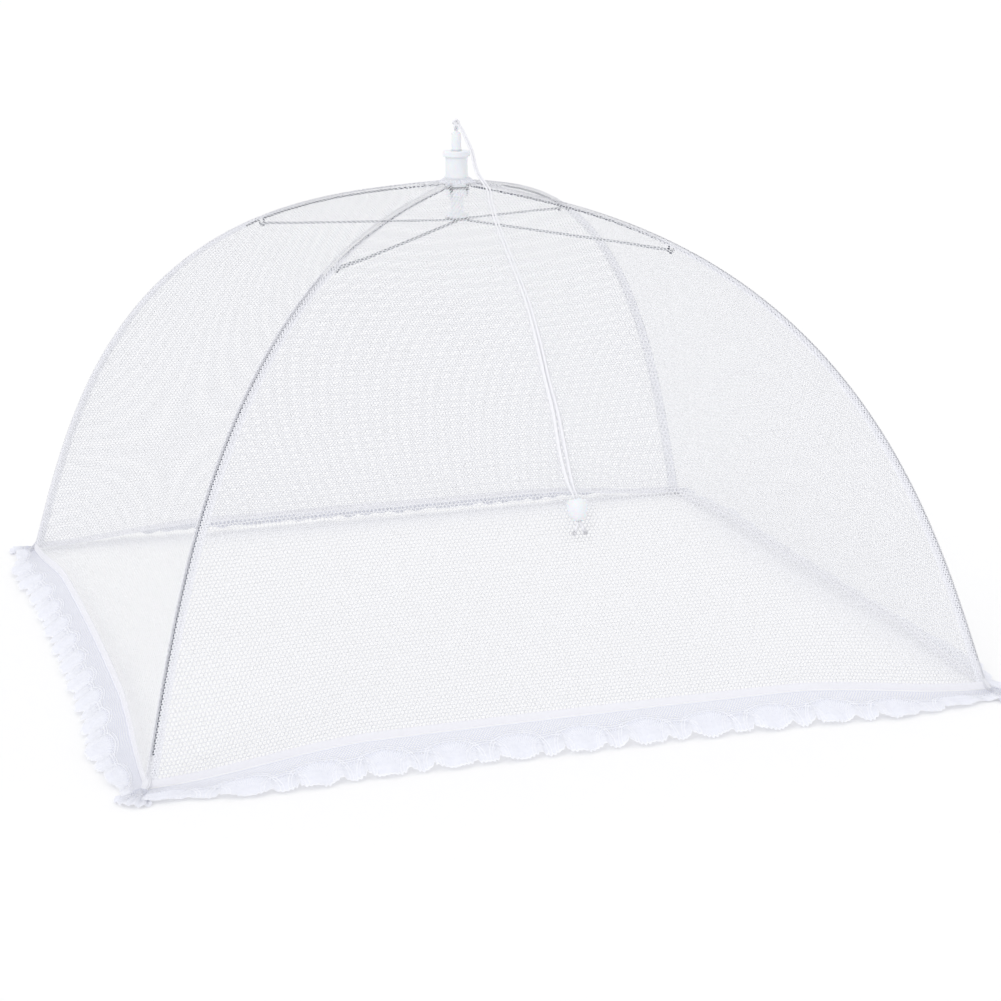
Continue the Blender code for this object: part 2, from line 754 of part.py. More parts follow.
def pocket_sections():
    """Centre x and z, slope, half width and half thickness of each section, in the rib's plane."""
    tip_x, _ = rib_at(RIB_LENGTH)
    table = -CROWN_Z
    sections = []
    for along in (RIB_LENGTH - POCKET_SLEEVE, RIB_LENGTH):
        sections.append((*rib_at(along), RIB_TIP_SLOPE, POCKET_HALF_WIDTH, POCKET_HALF_THICKNESS))
    neck = rib_at(RIB_LENGTH + POCKET_NECK)
    sections.append((*neck, RIB_TIP_SLOPE, POCKET_NECK_HALF_WIDTH, POCKET_NECK_HALF_WIDTH))
    fan_shares = ((0.20, 0.34, 0.55), (0.44, 0.60, 0.05), (1.0, 1.0, 0.0))
    for reach_share, width_share, slope_share in fan_shares:
        rise = (neck[1] - table) * slope_share * (1 - reach_share)
        sections.append(
            (
                tip_x + TAIL_LENGTH * reach_share,
                table + TAIL_THICKNESS / 2 + rise,
                RIB_TIP_SLOPE * slope_share,
                TAIL_HALF_WIDTH * width_share,
                TAIL_THICKNESS,
            )
        )
    return sections


def make_corner_pocket(name, hinge):
    """The hem's corner, gathered round the rib's tip, with a lace tail that lies on the table."""
    rings = []
    for x, z, slope, half_width, half_thickness in pocket_sections():
        ring = []
        for angle in (2 * math.pi * k / 12 for k in range(12)):
            up = half_thickness * math.sin(angle)
            height = max(z + up * math.cos(slope), -CROWN_Z)
            ring.append((x + up * math.sin(slope), half_width * math.cos(angle), height))
        rings.append(ring)
    pocket = loft(f"corner_pocket_{name}", rings, False, "white_tape", hinge)
    open_end = rib_at(RIB_LENGTH - POCKET_SLEEVE - OVERRUN)
    blind_end = rib_at(RIB_LENGTH + GAP)
    start = (open_end[0], 0.0, open_end[1])
    end = (blind_end[0], 0.0, blind_end[1])
    combine(pocket, "DIFFERENCE", rod_cutter(f"tip_bore_{name}", WIRE / 2 + GAP, start, end, hinge))


# Pull cord


def make_knot(eye_frame):
    """The cord's loop through the eye, and the knot over it."""
    knot_height = EYE_BALL_RADIUS + GAP + KNOT_RADIUS
    loop_shares = ((0.0, 0.0), (0.6, 0.0), (0.95, 0.18), (1.0, 0.42), (0.8, 0.72), (0.2, 1.0))
    side = [(LOOP_WIDTH * wide, 0.0, knot_height * high) for wide, high in loop_shares]
    other = [(-x, y, z) for x, y, z in reversed(side[1:])]
    loop_mesh = mesh_of_wire("cord_loop", smooth_route(other + side, CORD), CORD)
    loop = bpy.data.objects.new("cord_loop", loop_mesh)
    knot = ball("cord_knot", (KNOT_RADIUS, KNOT_RADIUS, KNOT_RADIUS), (0.0, 0.0, knot_height))
    link(knot, "white_cord", eye_frame)
    combine(knot, "UNION", as_cutter(loop, eye_frame))


def on_net(along_share, across, rise):
    """A point over the front panel, and the way out of it."""
    along = RIB_LENGTH * along_share
    point = Vector(canopy_point(along, across))
    down = Vector(canopy_point(along + WIRE, across)) - point
    aside = Vector(canopy_point(along, across + WIRE / RIB_LENGTH)) - point
    out = down.cross(aside).normalized()
    return point + out * (NET / 2 + GAP + CORD / 2 + rise), out


def bell_line():
    """The bell's top, the way down its axis and the way out of the net."""
    rise = BELL_RADIUS - CORD / 2
    top, out = on_net(BELL_ALONG_SHARE, BELL_ACROSS_SHARE, rise)
    below = on_net(BELL_ALONG_SHARE + BELL_HEIGHT / RIB_LENGTH, BELL_ACROSS_SHARE, rise)[0]
    return top, (below - top).normalized(), out


def pair_half():
    return CORD / 2 + CORD_SPACING / 2


def cord_route(side):
    """One strand's points, from the knot over the flange, down the front panel and through the bell."""
    points = []
    for radius, across, height in CORD_DROP:
        turn = across * QUARTER
        aside = Vector((-math.sin(turn), math.cos(turn), 0.0)) * pair_half() * side
        points.append(Vector((radius * math.cos(turn), radius * math.sin(turn), height)) + aside)
    for index, (along_share, across, rise, half_spread) in enumerate(CORD_LAY):
        here, out = on_net(along_share, across, rise)
        before = CORD_LAY[max(index - 1, 0)]
        after = CORD_LAY[min(index + 1, len(CORD_LAY) - 1)]
        way = on_net(*after[:3])[0] - on_net(*before[:3])[0]
        points.append(here + out.cross(way).normalized() * half_spread * side)
    top, way, out = bell_line()
    aside = out.cross(way) * pair_half() * side
    for distance in (-BELL_EDGE, BELL_HEIGHT / 2, BELL_HEIGHT + BELL_EDGE):
        points.append(top + way * distance + aside)
    points.append(top + way * (BELL_HEIGHT + TAIL_DROP) + aside * TAIL_SPREAD - out * CORD)
    return points


def make_cords(crown):
    for name, side in (("left", -1), ("right", 1)):
        route = smooth_route(cord_route(side), CORD_STEP)
        strand = wire(f"pull_cord_{name}", route, CORD, "white_cord", crown)
        strand.rotation_euler = (0.0, 0.0, FIRST_RIB)


def make_bell(crown):
    """The cord's end piece: domed, widest above its middle, narrowing to its foot, round both strands."""
    bore = pair_half() + CORD / 2 + GAP
    profile = [(bore, 0.0)]
    profile += [(BELL_RADIUS * wide, BELL_HEIGHT * high) for wide, high in BELL_SHAPE_SHARES]
    profile += [(bore + BELL_EDGE, -BELL_HEIGHT), (bore, -BELL_HEIGHT)]
    side_frame = frame_at("front_panel_frame", crown, (0.0, 0.0, 0.0), FIRST_RIB)
    bell = turned("cord_bell", profile, "white_plastic", side_frame)
    top, way, _ = bell_line()
    bell.location = top
    bell.rotation_euler = (-way).to_track_quat("Z", "Y").to_euler()


# Assembly


def make_frame(crown):
    rib_line = wire_curve("rib", rib_points(), WIRE)
    stretcher_line = wire_curve("stretcher", stretcher_points(), WIRE)
    tape = seam_tape_mesh()
    pivot_x, pivot_z = joint_in_rib()
    for name, turn in zip(RIB_NAMES, rib_turns()):
        spot = (RING_RADIUS * math.cos(turn), RING_RADIUS * math.sin(turn), 0.0)
        hinge = frame_at(f"hinge_{name}", crown, spot, turn)
        link(bpy.data.objects.new(f"rib_{name}", rib_line), "spring_wire", hinge)
        cloth(f"seam_tape_{name}", tape, TAPE, "white_tape", hinge, 0.0)
        make_corner_pocket(name, hinge)
        pivot = frame_at(f"pivot_{name}", hinge, (pivot_x, 0.0, pivot_z))
        link(bpy.data.objects.new(f"stretcher_{name}", stretcher_line), "spring_wire", pivot)


def main():
    crown = frame_at("crown", None, (0.0, 0.0, CROWN_Z))
    make_crown_hub(crown)
    make_ring("crown_ring", crown)
    runner_frame = frame_at("runner_slide", crown, (0.0, 0.0, -RUNNER_DROP))
    eye_frame = make_runner(runner_frame)
    make_ring("runner_ring", runner_frame)
    make_frame(crown)
    make_panels(crown)
    make_hem_bands(crown)
    make_lace(crown)
    make_gather(crown)
    make_knot(eye_frame)
    make_cords(crown)
    make_bell(crown)


main()
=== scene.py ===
# %% [markdown]
# A pop-up net food cover, standing open on a table.
# Four spring-wire ribs, four hairpin stretchers and a white hub carry four gores of open net. The
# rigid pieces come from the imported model. This lesson dresses them with net, tape, lace and cord.

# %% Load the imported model
import math

import bpy
from mathutils import Matrix, Vector


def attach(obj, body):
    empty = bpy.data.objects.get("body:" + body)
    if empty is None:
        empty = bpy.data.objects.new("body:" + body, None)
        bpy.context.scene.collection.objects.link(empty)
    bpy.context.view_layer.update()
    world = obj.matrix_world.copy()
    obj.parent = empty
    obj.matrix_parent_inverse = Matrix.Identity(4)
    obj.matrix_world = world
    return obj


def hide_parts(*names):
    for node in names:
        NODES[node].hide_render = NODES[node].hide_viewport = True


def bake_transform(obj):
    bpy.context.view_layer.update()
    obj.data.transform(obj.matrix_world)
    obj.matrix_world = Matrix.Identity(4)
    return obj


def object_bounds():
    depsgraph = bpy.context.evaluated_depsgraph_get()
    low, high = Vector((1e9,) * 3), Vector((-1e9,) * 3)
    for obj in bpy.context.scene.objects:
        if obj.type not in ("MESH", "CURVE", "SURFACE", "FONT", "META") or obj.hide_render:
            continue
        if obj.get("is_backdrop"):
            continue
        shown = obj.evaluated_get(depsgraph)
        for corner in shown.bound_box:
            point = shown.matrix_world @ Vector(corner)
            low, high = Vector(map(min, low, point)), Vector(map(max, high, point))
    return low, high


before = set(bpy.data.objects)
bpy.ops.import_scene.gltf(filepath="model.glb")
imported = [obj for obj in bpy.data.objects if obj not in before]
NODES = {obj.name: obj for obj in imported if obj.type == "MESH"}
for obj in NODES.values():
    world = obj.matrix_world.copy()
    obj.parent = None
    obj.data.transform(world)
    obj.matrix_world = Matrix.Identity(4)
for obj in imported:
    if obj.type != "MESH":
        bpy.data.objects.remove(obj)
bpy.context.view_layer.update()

# %% [markdown]
# The camera stands where the photograph was taken from: in front and a little to the left, 14.5
# degrees above the table. Its three directions were solved from the rib tips and the crown.

# %% Camera
IMAGE_WIDTH = 1001
FOCAL_PIXELS = 2358.8
SENSOR_WIDTH = 36.0
CAMERA_PLACE = Vector((-0.3663, -1.2469, 0.4064))
CAMERA_FORWARD = Vector((0.2888, 0.9238, -0.2512)).normalized()
CAMERA_UP = Vector((0.0837, 0.2370, 0.9679))

camera = bpy.data.objects.new("camera", bpy.data.cameras.new("camera"))
bpy.context.scene.collection.objects.link(camera)
right = CAMERA_FORWARD.cross(CAMERA_UP).normalized()
up = right.cross(CAMERA_FORWARD)
turn_matrix = Matrix((right, up, -CAMERA_FORWARD)).transposed()
camera.matrix_world = Matrix.Translation(CAMERA_PLACE) @ turn_matrix.to_4x4()
camera.data.sensor_width = SENSOR_WIDTH
camera.data.lens = FOCAL_PIXELS / IMAGE_WIDTH * SENSOR_WIDTH
bpy.context.scene.camera = camera
print("lens", round(camera.data.lens, 2), "mm")

# %% [markdown]
# A food cover is nearly white on a white ground, so plain soft light matters. The world gives nearly
# all of it and a broad, weak sun from the upper left models the form. Only camera, gloss and
# transmission rays see the world as pure white. The floor keeps the soft shadow under the lace.

# %% Nodes, made shortly
MIX_VECTORS, MIX_VECTOR_OUT = (4, 5), 1  # the mixing node's sockets for vectors
MIX_COLOURS, MIX_COLOUR_OUT = (6, 7), 2  # and those for colours


def add(tree, kind, inputs=(), **settings):
    """A new node with its settings, its inputs linked or set in order."""
    node = tree.nodes.new(kind)
    for key, value in settings.items():
        setattr(node, key, value)
    for socket, value in zip(node.inputs, inputs):
        if isinstance(value, bpy.types.NodeSocket):
            tree.links.new(value, socket)
        else:
            socket.default_value = value
    return node


def calc(tree, operation, *values):
    return add(tree, "ShaderNodeMath", values, operation=operation).outputs[0]


def vector_calc(tree, operation, *values):
    node = add(tree, "ShaderNodeVectorMath", values, operation=operation)
    return node.outputs["Value" if operation == "DOT_PRODUCT" else "Vector"]


def soft_step(tree, value, edge_at, softness):
    """1 where the value is under the edge, fading over a softness."""
    step = add(tree, "ShaderNodeMapRange", interpolation_type="SMOOTHSTEP")
    tree.links.new(value, step.inputs["Value"])
    step.inputs["From Min"].default_value = edge_at + softness
    step.inputs["From Max"].default_value = edge_at - softness
    return step.outputs["Result"]


def wave_of(tree, operation, value, turns):
    """A wave that passes so many full turns while the value grows by one."""
    return calc(tree, operation, calc(tree, "MULTIPLY", value, 2 * math.pi * turns))


def background_rays(tree):
    """1 for the rays that should see a white background."""
    path = add(tree, "ShaderNodeLightPath")
    seen = calc(tree, "MAXIMUM", path.outputs["Is Camera Ray"], path.outputs["Is Glossy Ray"])
    return calc(tree, "MAXIMUM", seen, path.outputs["Is Transmission Ray"])


# %% Light, floor and world
SUN_STRENGTH = 0.55
WORLD_FILL = 0.94
FLOOR_HALF = 12.0
FLOOR_GLOW = 0.025

scene = bpy.context.scene
scene.view_settings.view_transform = "Standard"
scene.world = bpy.data.worlds.new("white_studio")
scene.world.use_nodes = True
world_tree = scene.world.node_tree
strength = calc(world_tree, "MAXIMUM", background_rays(world_tree), WORLD_FILL)
world_tree.links.new(strength, world_tree.nodes["Background"].inputs["Strength"])
world_tree.nodes["Background"].inputs["Color"].default_value = (1.0, 1.0, 1.0, 1.0)

sun = bpy.data.objects.new("sun", bpy.data.lights.new("sun", "SUN"))
sun.data.energy = SUN_STRENGTH
sun.data.angle = math.radians(25)
sun.rotation_euler = (math.radians(30), math.radians(-38), 0.0)
scene.collection.objects.link(sun)

floor_mesh = bpy.data.meshes.new("floor")
corners = [(x * FLOOR_HALF, y * FLOOR_HALF, 0.0) for x, y in ((-1, -1), (1, -1), (1, 1), (-1, 1))]
floor_mesh.from_pydata(corners, [], [(0, 1, 2, 3)])
floor = bpy.data.objects.new("floor", floor_mesh)
scene.collection.objects.link(floor)
floor_material = bpy.data.materials.new("floor_paper")
floor_material.use_nodes = True
floor_tree = floor_material.node_tree
paper = floor_tree.nodes["Principled BSDF"]
paper.inputs["Base Color"].default_value = (0.93, 0.93, 0.935, 1.0)
paper.inputs["Roughness"].default_value = 0.9
paper.inputs["Emission Color"].default_value = (1.0, 1.0, 1.0, 1.0)
glow = calc(floor_tree, "MULTIPLY", background_rays(floor_tree), FLOOR_GLOW)
floor_tree.links.new(glow, paper.inputs["Emission Strength"])
floor_mesh.materials.append(floor_material)
floor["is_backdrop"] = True
print("stage ready")

# %% [markdown]
# The canopy follows the ribs. Each rib leaves the crown nearly level and steepens to its tip, and
# between two ribs the net is stretched almost flat with a slight inward sag. The same few sizes as
# in the solid model give this surface, so cloth, seams and cord agree with the wires.

# %% The ribs' line and the canopy's surface
BASE_SIDE = 0.430
TIP_HEIGHT = 0.012
TOP_SLOPE = math.radians(7)
TIP_SLOPE = math.radians(70)
WIRE = 0.0011
RING_WIRE = 0.0010
RING_RADIUS = 0.0062
GAP = 0.0003
NET = 0.0005
TAPE = 0.0006
NET_TOP_RADIUS = 0.0094
ROUND_FADE = 0.040
SAG_SHARE = 0.036
HEM_TAUT_SHARE = 0.6
TAUT_FADE = 8
HEM_HEIGHT = 0.0036  # of the band that shows
CORNER_DROP = 0.0095
DROP_WIDTH = 0.110
DROP_HEIGHT = 0.060
QUARTER = math.radians(90)
FIRST_RIB = math.radians(-135)
EYE_RADIUS = RING_WIRE / 2 + GAP + WIRE / 2
CLOTH_LIFT = (WIRE / 2 + GAP + TAPE / 2) * math.sqrt(2)
RIB_NAMES = ("front_left", "front_right", "back_right", "back_left")
PANEL_NAMES = ("front", "right", "back", "left")


def ease(share):
    share = min(max(share, 0.0), 1.0)
    return share * share * (3 - 2 * share)


def unit_rib(steps):
    line = [(0.0, 0.0)]
    for step in range(steps):
        slope = TOP_SLOPE + (TIP_SLOPE - TOP_SLOPE) * ease((step + 0.5) / steps)
        reach, drop = line[-1]
        line.append((reach + math.cos(slope) / steps, drop + math.sin(slope) / steps))
    return line


UNIT_RIB = unit_rib(240)
RIB_LENGTH = (BASE_SIDE / math.sqrt(2) - RING_RADIUS) / UNIT_RIB[-1][0]
CROWN_Z = TIP_HEIGHT + UNIT_RIB[-1][1] * RIB_LENGTH - EYE_RADIUS


def rib_at(along, lift=0.0):
    """Point of the rib's line in its own plane, from the crown ring's wire, lifted out of it."""
    steps = len(UNIT_RIB) - 1
    place = min(max(along / RIB_LENGTH, 0.0), 1.0) * steps
    index = min(int(place), steps - 1)
    part = place - index
    reach = UNIT_RIB[index][0] * (1 - part) + UNIT_RIB[index + 1][0] * part
    drop = UNIT_RIB[index][1] * (1 - part) + UNIT_RIB[index + 1][1] * part
    beyond = max(along - RIB_LENGTH, 0.0)
    slope = TOP_SLOPE + (TIP_SLOPE - TOP_SLOPE) * ease(along / RIB_LENGTH)
    x = reach * RIB_LENGTH + math.cos(slope) * beyond + math.sin(slope) * lift
    z = EYE_RADIUS - drop * RIB_LENGTH - math.sin(slope) * beyond + math.cos(slope) * lift
    return x, z


def canopy_point(along, across, lift=0.0):
    """Point of the net between two ribs at 0 and 90 degrees, from the crown ring's centre."""
    bow = 4 * across * (1 - across)
    reach, height = rib_at(along, CLOTH_LIFT + lift)
    radius = RING_RADIUS + reach
    flat = ease((radius - NET_TOP_RADIUS) / ROUND_FADE)
    taut = HEM_TAUT_SHARE * (along / RIB_LENGTH) ** TAUT_FADE
    inward = SAG_SHARE * (1 - taut) * radius * bow * flat / math.sqrt(2)
    turn = across * QUARTER
    x = radius * (math.cos(turn) * (1 - flat) + (1 - across) * flat) - inward
    y = radius * (math.sin(turn) * (1 - flat) + across * flat) - inward
    return Vector((x, y, height))


def corner_drop(along, across):
    """How far the cloth hangs on past the rib's tip: near a corner it reaches down to the table."""
    beside = 1 - ease(min(across, 1 - across) * BASE_SIDE / DROP_WIDTH)
    return CORNER_DROP * beside * ease((along - RIB_LENGTH + DROP_HEIGHT) / DROP_HEIGHT)


def cloth_point(along, across, lift=0.0):
    """The net's surface as it hangs, with its corners gathered at the table."""
    return canopy_point(along + corner_drop(along, across), across, lift)


def across_at(along, distance):
    """Share across the panel at a distance from the first rib's plane."""
    low, high = 0.0, 0.5
    for _ in range(30):
        middle = (low + high) / 2
        if canopy_point(along, middle)[1] < distance:
            low = middle
        else:
            high = middle
    return low


def placed(point, turn):
    """A point of a side, turned to its own side and lifted to the crown's height."""
    x, y, z = point
    cosine, sine = math.cos(turn), math.sin(turn)
    return Vector((x * cosine - y * sine, x * sine + y * cosine, z + CROWN_Z))


def rib_turn(index):
    return FIRST_RIB + QUARTER * (index % len(RIB_NAMES))


print("rib length", round(RIB_LENGTH, 4), "crown ring at", round(CROWN_Z, 4))

# %% [markdown]
# Meshes are made from rows of points. Every cloth also gets its own map in metres, measured over
# the surface, so that the holes of the net stay the same size however the cloth curves.

# %% Meshes from rows of points
CUT_MAP = "cut"


def mesh_object(name, points, faces, material, cut=None):
    """A mesh at the origin, with a map in metres for its pattern."""
    mesh = bpy.data.meshes.new(name)
    mesh.from_pydata([tuple(p) for p in points], [], faces)
    mesh.materials.append(material)
    if cut:
        layer = mesh.uv_layers.new(name=CUT_MAP)
        for loop in mesh.loops:
            layer.data[loop.index].uv = cut[loop.vertex_index]
    mesh.shade_smooth()
    thing = bpy.data.objects.new(name, mesh)
    scene.collection.objects.link(thing)
    return thing


def row_faces(rows, columns):
    faces = []
    for i in range(rows - 1):
        for j in range(columns - 1):
            a = i * columns + j
            faces.append((a, a + columns, a + columns + 1, a + 1))
    return faces


def measured_cut(rows, first):
    """Distance across from the given column, and distance down it, for each point."""
    cut = []
    down = 0.0
    for i, row in enumerate(rows):
        if i:
            down += (row[first] - rows[i - 1][first]).length
        across = [0.0]
        for near, far in zip(row, row[1:]):
            across.append(across[-1] + (far - near).length)
        cut += [(value - across[first], down) for value in across]
    return cut


def sheet_from_rows(name, rows, material, first=0, cut=None):
    points = [point for row in rows for point in row]
    cut = cut or measured_cut(rows, first)
    return mesh_object(name, points, row_faces(len(rows), len(rows[0])), material, cut)


def area_of(thing):
    return sum(face.area for face in thing.data.polygons)


def tube_parts(path, radii, sides, first=0):
    """Points, faces and map of a closed round tube along points, with a radius at each."""
    points, cut, faces = [], [], []
    long = 0.0
    normal = Vector((0.0, 0.0, 1.0))
    for i, here in enumerate(path):
        way = (path[min(i + 1, len(path) - 1)] - path[max(i - 1, 0)]).normalized()
        normal = (normal - way * normal.dot(way)).normalized()
        side = way.cross(normal)
        if i:
            long += (here - path[i - 1]).length
        for k in range(sides):
            angle = 2 * math.pi * k / sides
            points.append(here + (normal * math.cos(angle) + side * math.sin(angle)) * radii[i])
            cut.append((k / sides, long))
    for i in range(len(path) - 1):
        for k in range(sides):
            near, after = first + i * sides + k, first + i * sides + (k + 1) % sides
            faces.append((near, after, after + sides, near + sides))
    faces.append(tuple(first + k for k in range(sides))[::-1])
    faces.append(tuple(first + (len(path) - 1) * sides + k for k in range(sides)))
    return points, faces, cut


def tubes(name, paths, radius, sides, material, swell=None):
    """One mesh of round tubes along paths, mapped round and along in metres."""
    points, faces, cut = [], [], []
    for path in paths:
        radii = [radius * share for share in swell] if swell else [radius] * len(path)
        more_points, more_faces, more_cut = tube_parts(path, radii, sides, len(points))
        points += more_points
        faces += more_faces
        cut += more_cut
    return mesh_object(name, points, faces, material, cut)


def smooth_route(points, spacing):
    """Points about a spacing apart on a smooth curve through the given ones."""
    knots = [Vector(point) for point in points]
    knots = [knots[0] * 2 - knots[1], *knots, knots[-1] * 2 - knots[-2]]
    route = []
    for before, start, end, after in zip(knots, knots[1:], knots[2:], knots[3:]):
        steps = max(1, round((end - start).length / spacing))
        for t in (k / steps for k in range(steps)):
            straight = start * 2 + (end - before) * t
            bend = (before * 2 - start * 5 + end * 4 - after) * t * t
            twist = (start * 3 - before - end * 3 + after) * t * t * t
            route.append((straight + bend + twist) / 2)
    return [*route, knots[-2]]


# %% [markdown]
# The net is a knitted one with staggered six-sided holes about 2 mm apart. Its holes are far too
# many to model one by one at this scale, so a node group turns the cloth's map into a honeycomb of
# threads. The same group, at other sizes, makes the seam tape and the lace's ground.

# %% Node group: knitted net
ROOT3 = math.sqrt(3)
THREAD_BLUR = 0.15  # of the thread's width, at its rim


def new_group(name, inputs, outputs):
    tree = bpy.data.node_groups.new(name, "ShaderNodeTree")
    for title, kind, value in inputs:
        socket = tree.interface.new_socket(title, in_out="INPUT", socket_type=kind)
        if value is not None:
            socket.default_value = value
    for title in outputs:
        tree.interface.new_socket(title, in_out="OUTPUT", socket_type="NodeSocketFloat")
    return tree, tree.nodes.new("NodeGroupInput").outputs, tree.nodes.new("NodeGroupOutput").inputs


FLOAT, VECTOR = "NodeSocketFloat", "NodeSocketVector"
net_inputs = [("Place", VECTOR, None), ("Pitch", FLOAT, 0.002), ("Thread", FLOAT, 0.13)]
net_group, given, wanted = new_group("knitted_net", net_inputs, ["Threads", "Height"])
pitches = add(net_group, "ShaderNodeCombineXYZ", (given["Pitch"], given["Pitch"], 1.0)).outputs[0]
scaled = vector_calc(net_group, "DIVIDE", given["Place"], pitches)
scaled = vector_calc(net_group, "DIVIDE", scaled, (1.0, ROOT3, 1.0))
cells = []
for offset in (0.0, 0.5):
    shifted = vector_calc(net_group, "ADD", scaled, (offset, offset, 0.0))
    in_cell = vector_calc(net_group, "FRACTION", shifted)
    centred = vector_calc(net_group, "SUBTRACT", in_cell, (0.5, 0.5, 0.0))
    cells.append(vector_calc(net_group, "MULTIPLY", centred, (1.0, ROOT3, 0.0)))
squares = [vector_calc(net_group, "DOT_PRODUCT", cell, cell) for cell in cells]
nearer = calc(net_group, "LESS_THAN", squares[0], squares[1])
pick = add(net_group, "ShaderNodeMix", data_type="VECTOR")
net_group.links.new(nearer, pick.inputs["Factor"])
net_group.links.new(cells[1], pick.inputs[MIX_VECTORS[0]])
net_group.links.new(cells[0], pick.inputs[MIX_VECTORS[1]])
in_corner = vector_calc(net_group, "ABSOLUTE", pick.outputs[MIX_VECTOR_OUT])
parts = add(net_group, "ShaderNodeSeparateXYZ", (in_corner,)).outputs
half_across = calc(net_group, "MULTIPLY", parts[0], 0.5)
slant = calc(net_group, "ADD", half_across, calc(net_group, "MULTIPLY", parts[1], ROOT3 / 2))
rim = calc(net_group, "SUBTRACT", 0.5, calc(net_group, "MAXIMUM", parts[0], slant))
edge = add(net_group, "ShaderNodeMapRange", interpolation_type="SMOOTHSTEP")
net_group.links.new(rim, edge.inputs["Value"])
for limit, share in (("From Min", 1 + THREAD_BLUR), ("From Max", 1 - THREAD_BLUR)):
    net_group.links.new(calc(net_group, "MULTIPLY", given["Thread"], share), edge.inputs[limit])
net_group.links.new(edge.outputs["Result"], wanted["Threads"])
round_thread = calc(net_group, "SUBTRACT", 1.0, calc(net_group, "DIVIDE", rim, given["Thread"]))
net_group.links.new(calc(net_group, "MAXIMUM", round_thread, 0.0), wanted["Height"])

# %% [markdown]
# Woven tape and braided cord share a second group: two waves that cross. On tape the waves run
# nearly square to each other, and on a cord they wind round it both ways, as plaits do.

# %% Node group: crossing threads
weave_inputs = [("Place", VECTOR, None), ("Across", FLOAT, 1000.0), ("Along", FLOAT, 1000.0)]
weave_group, given, wanted = new_group("crossing_threads", weave_inputs, ["Height"])
parts = add(weave_group, "ShaderNodeSeparateXYZ", (given["Place"],)).outputs
first = calc(weave_group, "MULTIPLY", parts[0], given["Across"])
second = calc(weave_group, "MULTIPLY", parts[1], given["Along"])
crossed = [calc(weave_group, way, first, second) for way in ("ADD", "SUBTRACT")]
waves = [wave_of(weave_group, "SINE", value, 1) for value in crossed]
product = calc(weave_group, "MULTIPLY", waves[0], waves[1])
weave_group.links.new(calc(weave_group, "MULTIPLY_ADD", product, 0.5, 0.5), wanted["Height"])

# %% [markdown]
# The lace has an open net ground under its sewn edge. Each lobe of its free edge holds a dense,
# feathered fan, with rays and thin arcs round it. One group draws all of it from the lace's own
# map: its first number counts repeats along the frill, and its second runs from the sewn edge, 0,
# to the free edge, 1. A repeat is one large lobe and one small one.

# %% Node group: lace
LACE_WIDTH = 0.0245
SCALLOP_WIDTH = 0.0318
lace_group, given, wanted = new_group("feather_lace", [("Place", VECTOR, None)], ["Threads", "Height"])
metres = vector_calc(lace_group, "MULTIPLY", given["Place"], (SCALLOP_WIDTH, LACE_WIDTH, 0.0))
ground = add(lace_group, "ShaderNodeGroup", node_tree=net_group)
lace_group.links.new(metres, ground.inputs["Place"])
ground.inputs["Pitch"].default_value = 0.0014
ground.inputs["Thread"].default_value = 0.17
parts = add(lace_group, "ShaderNodeSeparateXYZ", (given["Place"],)).outputs
from_edge = calc(lace_group, "SUBTRACT", 1.0, parts[1])
LARGE_LOBE = 0.62  # of a repeat
FAN_CENTRE = 0.10  # over the free edge, of the lace's width
FAN_SIZES = ((LARGE_LOBE / 2, 0.0118), ((1 + LARGE_LOBE) / 2, 0.0072))  # place in a repeat, radius
OUTLINE_GAPS = (0.0016, 0.0031)  # of the two arcs round a fan


def fan_of(tree, place, size):
    """A dense fan with a soft rim, and two thin arcs joined by rays round it."""
    shifted = calc(tree, "FRACT", calc(tree, "SUBTRACT", parts[0], place - 0.5))
    beside = calc(tree, "MULTIPLY", calc(tree, "SUBTRACT", shifted, 0.5), SCALLOP_WIDTH)
    above = calc(tree, "MULTIPLY", calc(tree, "SUBTRACT", from_edge, FAN_CENTRE), LACE_WIDTH)
    squared = calc(tree, "ADD", calc(tree, "MULTIPLY", beside, beside), calc(tree, "MULTIPLY", above, above))
    radius = calc(tree, "SQRT", squared)
    angle = calc(tree, "ARCTAN2", above, beside)
    rays = wave_of(tree, "COSINE", angle, 5)
    rim = calc(tree, "MULTIPLY_ADD", rays, size * 0.06, radius)
    shape = soft_step(tree, rim, size, size * 0.12)
    outwards = calc(tree, "MULTIPLY", radius, 0.26 / size)
    feathered = calc(tree, "MULTIPLY_ADD", wave_of(tree, "COSINE", angle, 9), outwards, 0.74)
    shape = calc(tree, "MULTIPLY", shape, feathered)
    ray_zone = soft_step(tree, radius, size + OUTLINE_GAPS[1], 0.0002)
    ray_lines = calc(tree, "MULTIPLY", calc(tree, "MAXIMUM", rays, 0.0), 0.6)
    shape = calc(tree, "MAXIMUM", shape, calc(tree, "MULTIPLY", ray_zone, ray_lines))
    for gap in OUTLINE_GAPS:
        away = calc(tree, "ABSOLUTE", calc(tree, "SUBTRACT", radius, size + gap))
        shape = calc(tree, "MAXIMUM", shape, soft_step(tree, away, 0.0004, 0.0002))
    return shape


fans = calc(lace_group, "MAXIMUM", *[fan_of(lace_group, place, size) for place, size in FAN_SIZES])
cloth_noise = add(lace_group, "ShaderNodeTexNoise")
lace_group.links.new(metres, cloth_noise.inputs["Vector"])
cloth_noise.inputs["Scale"].default_value = 480.0
cloth_noise.inputs["Detail"].default_value = 2.0
cloth = calc(lace_group, "MULTIPLY_ADD", cloth_noise.outputs["Fac"], 0.8, 0.50)
cloth = calc(lace_group, "MINIMUM", cloth, 1.0)
border = calc(lace_group, "MULTIPLY", soft_step(lace_group, from_edge, 0.24, 0.08), 0.75)
worked_edge = soft_step(lace_group, from_edge, 0.045, 0.015)
sewn = calc(lace_group, "MULTIPLY", soft_step(lace_group, parts[1], 0.05, 0.02), 0.9)
motif = calc(lace_group, "MULTIPLY", calc(lace_group, "MAXIMUM", fans, border), cloth)
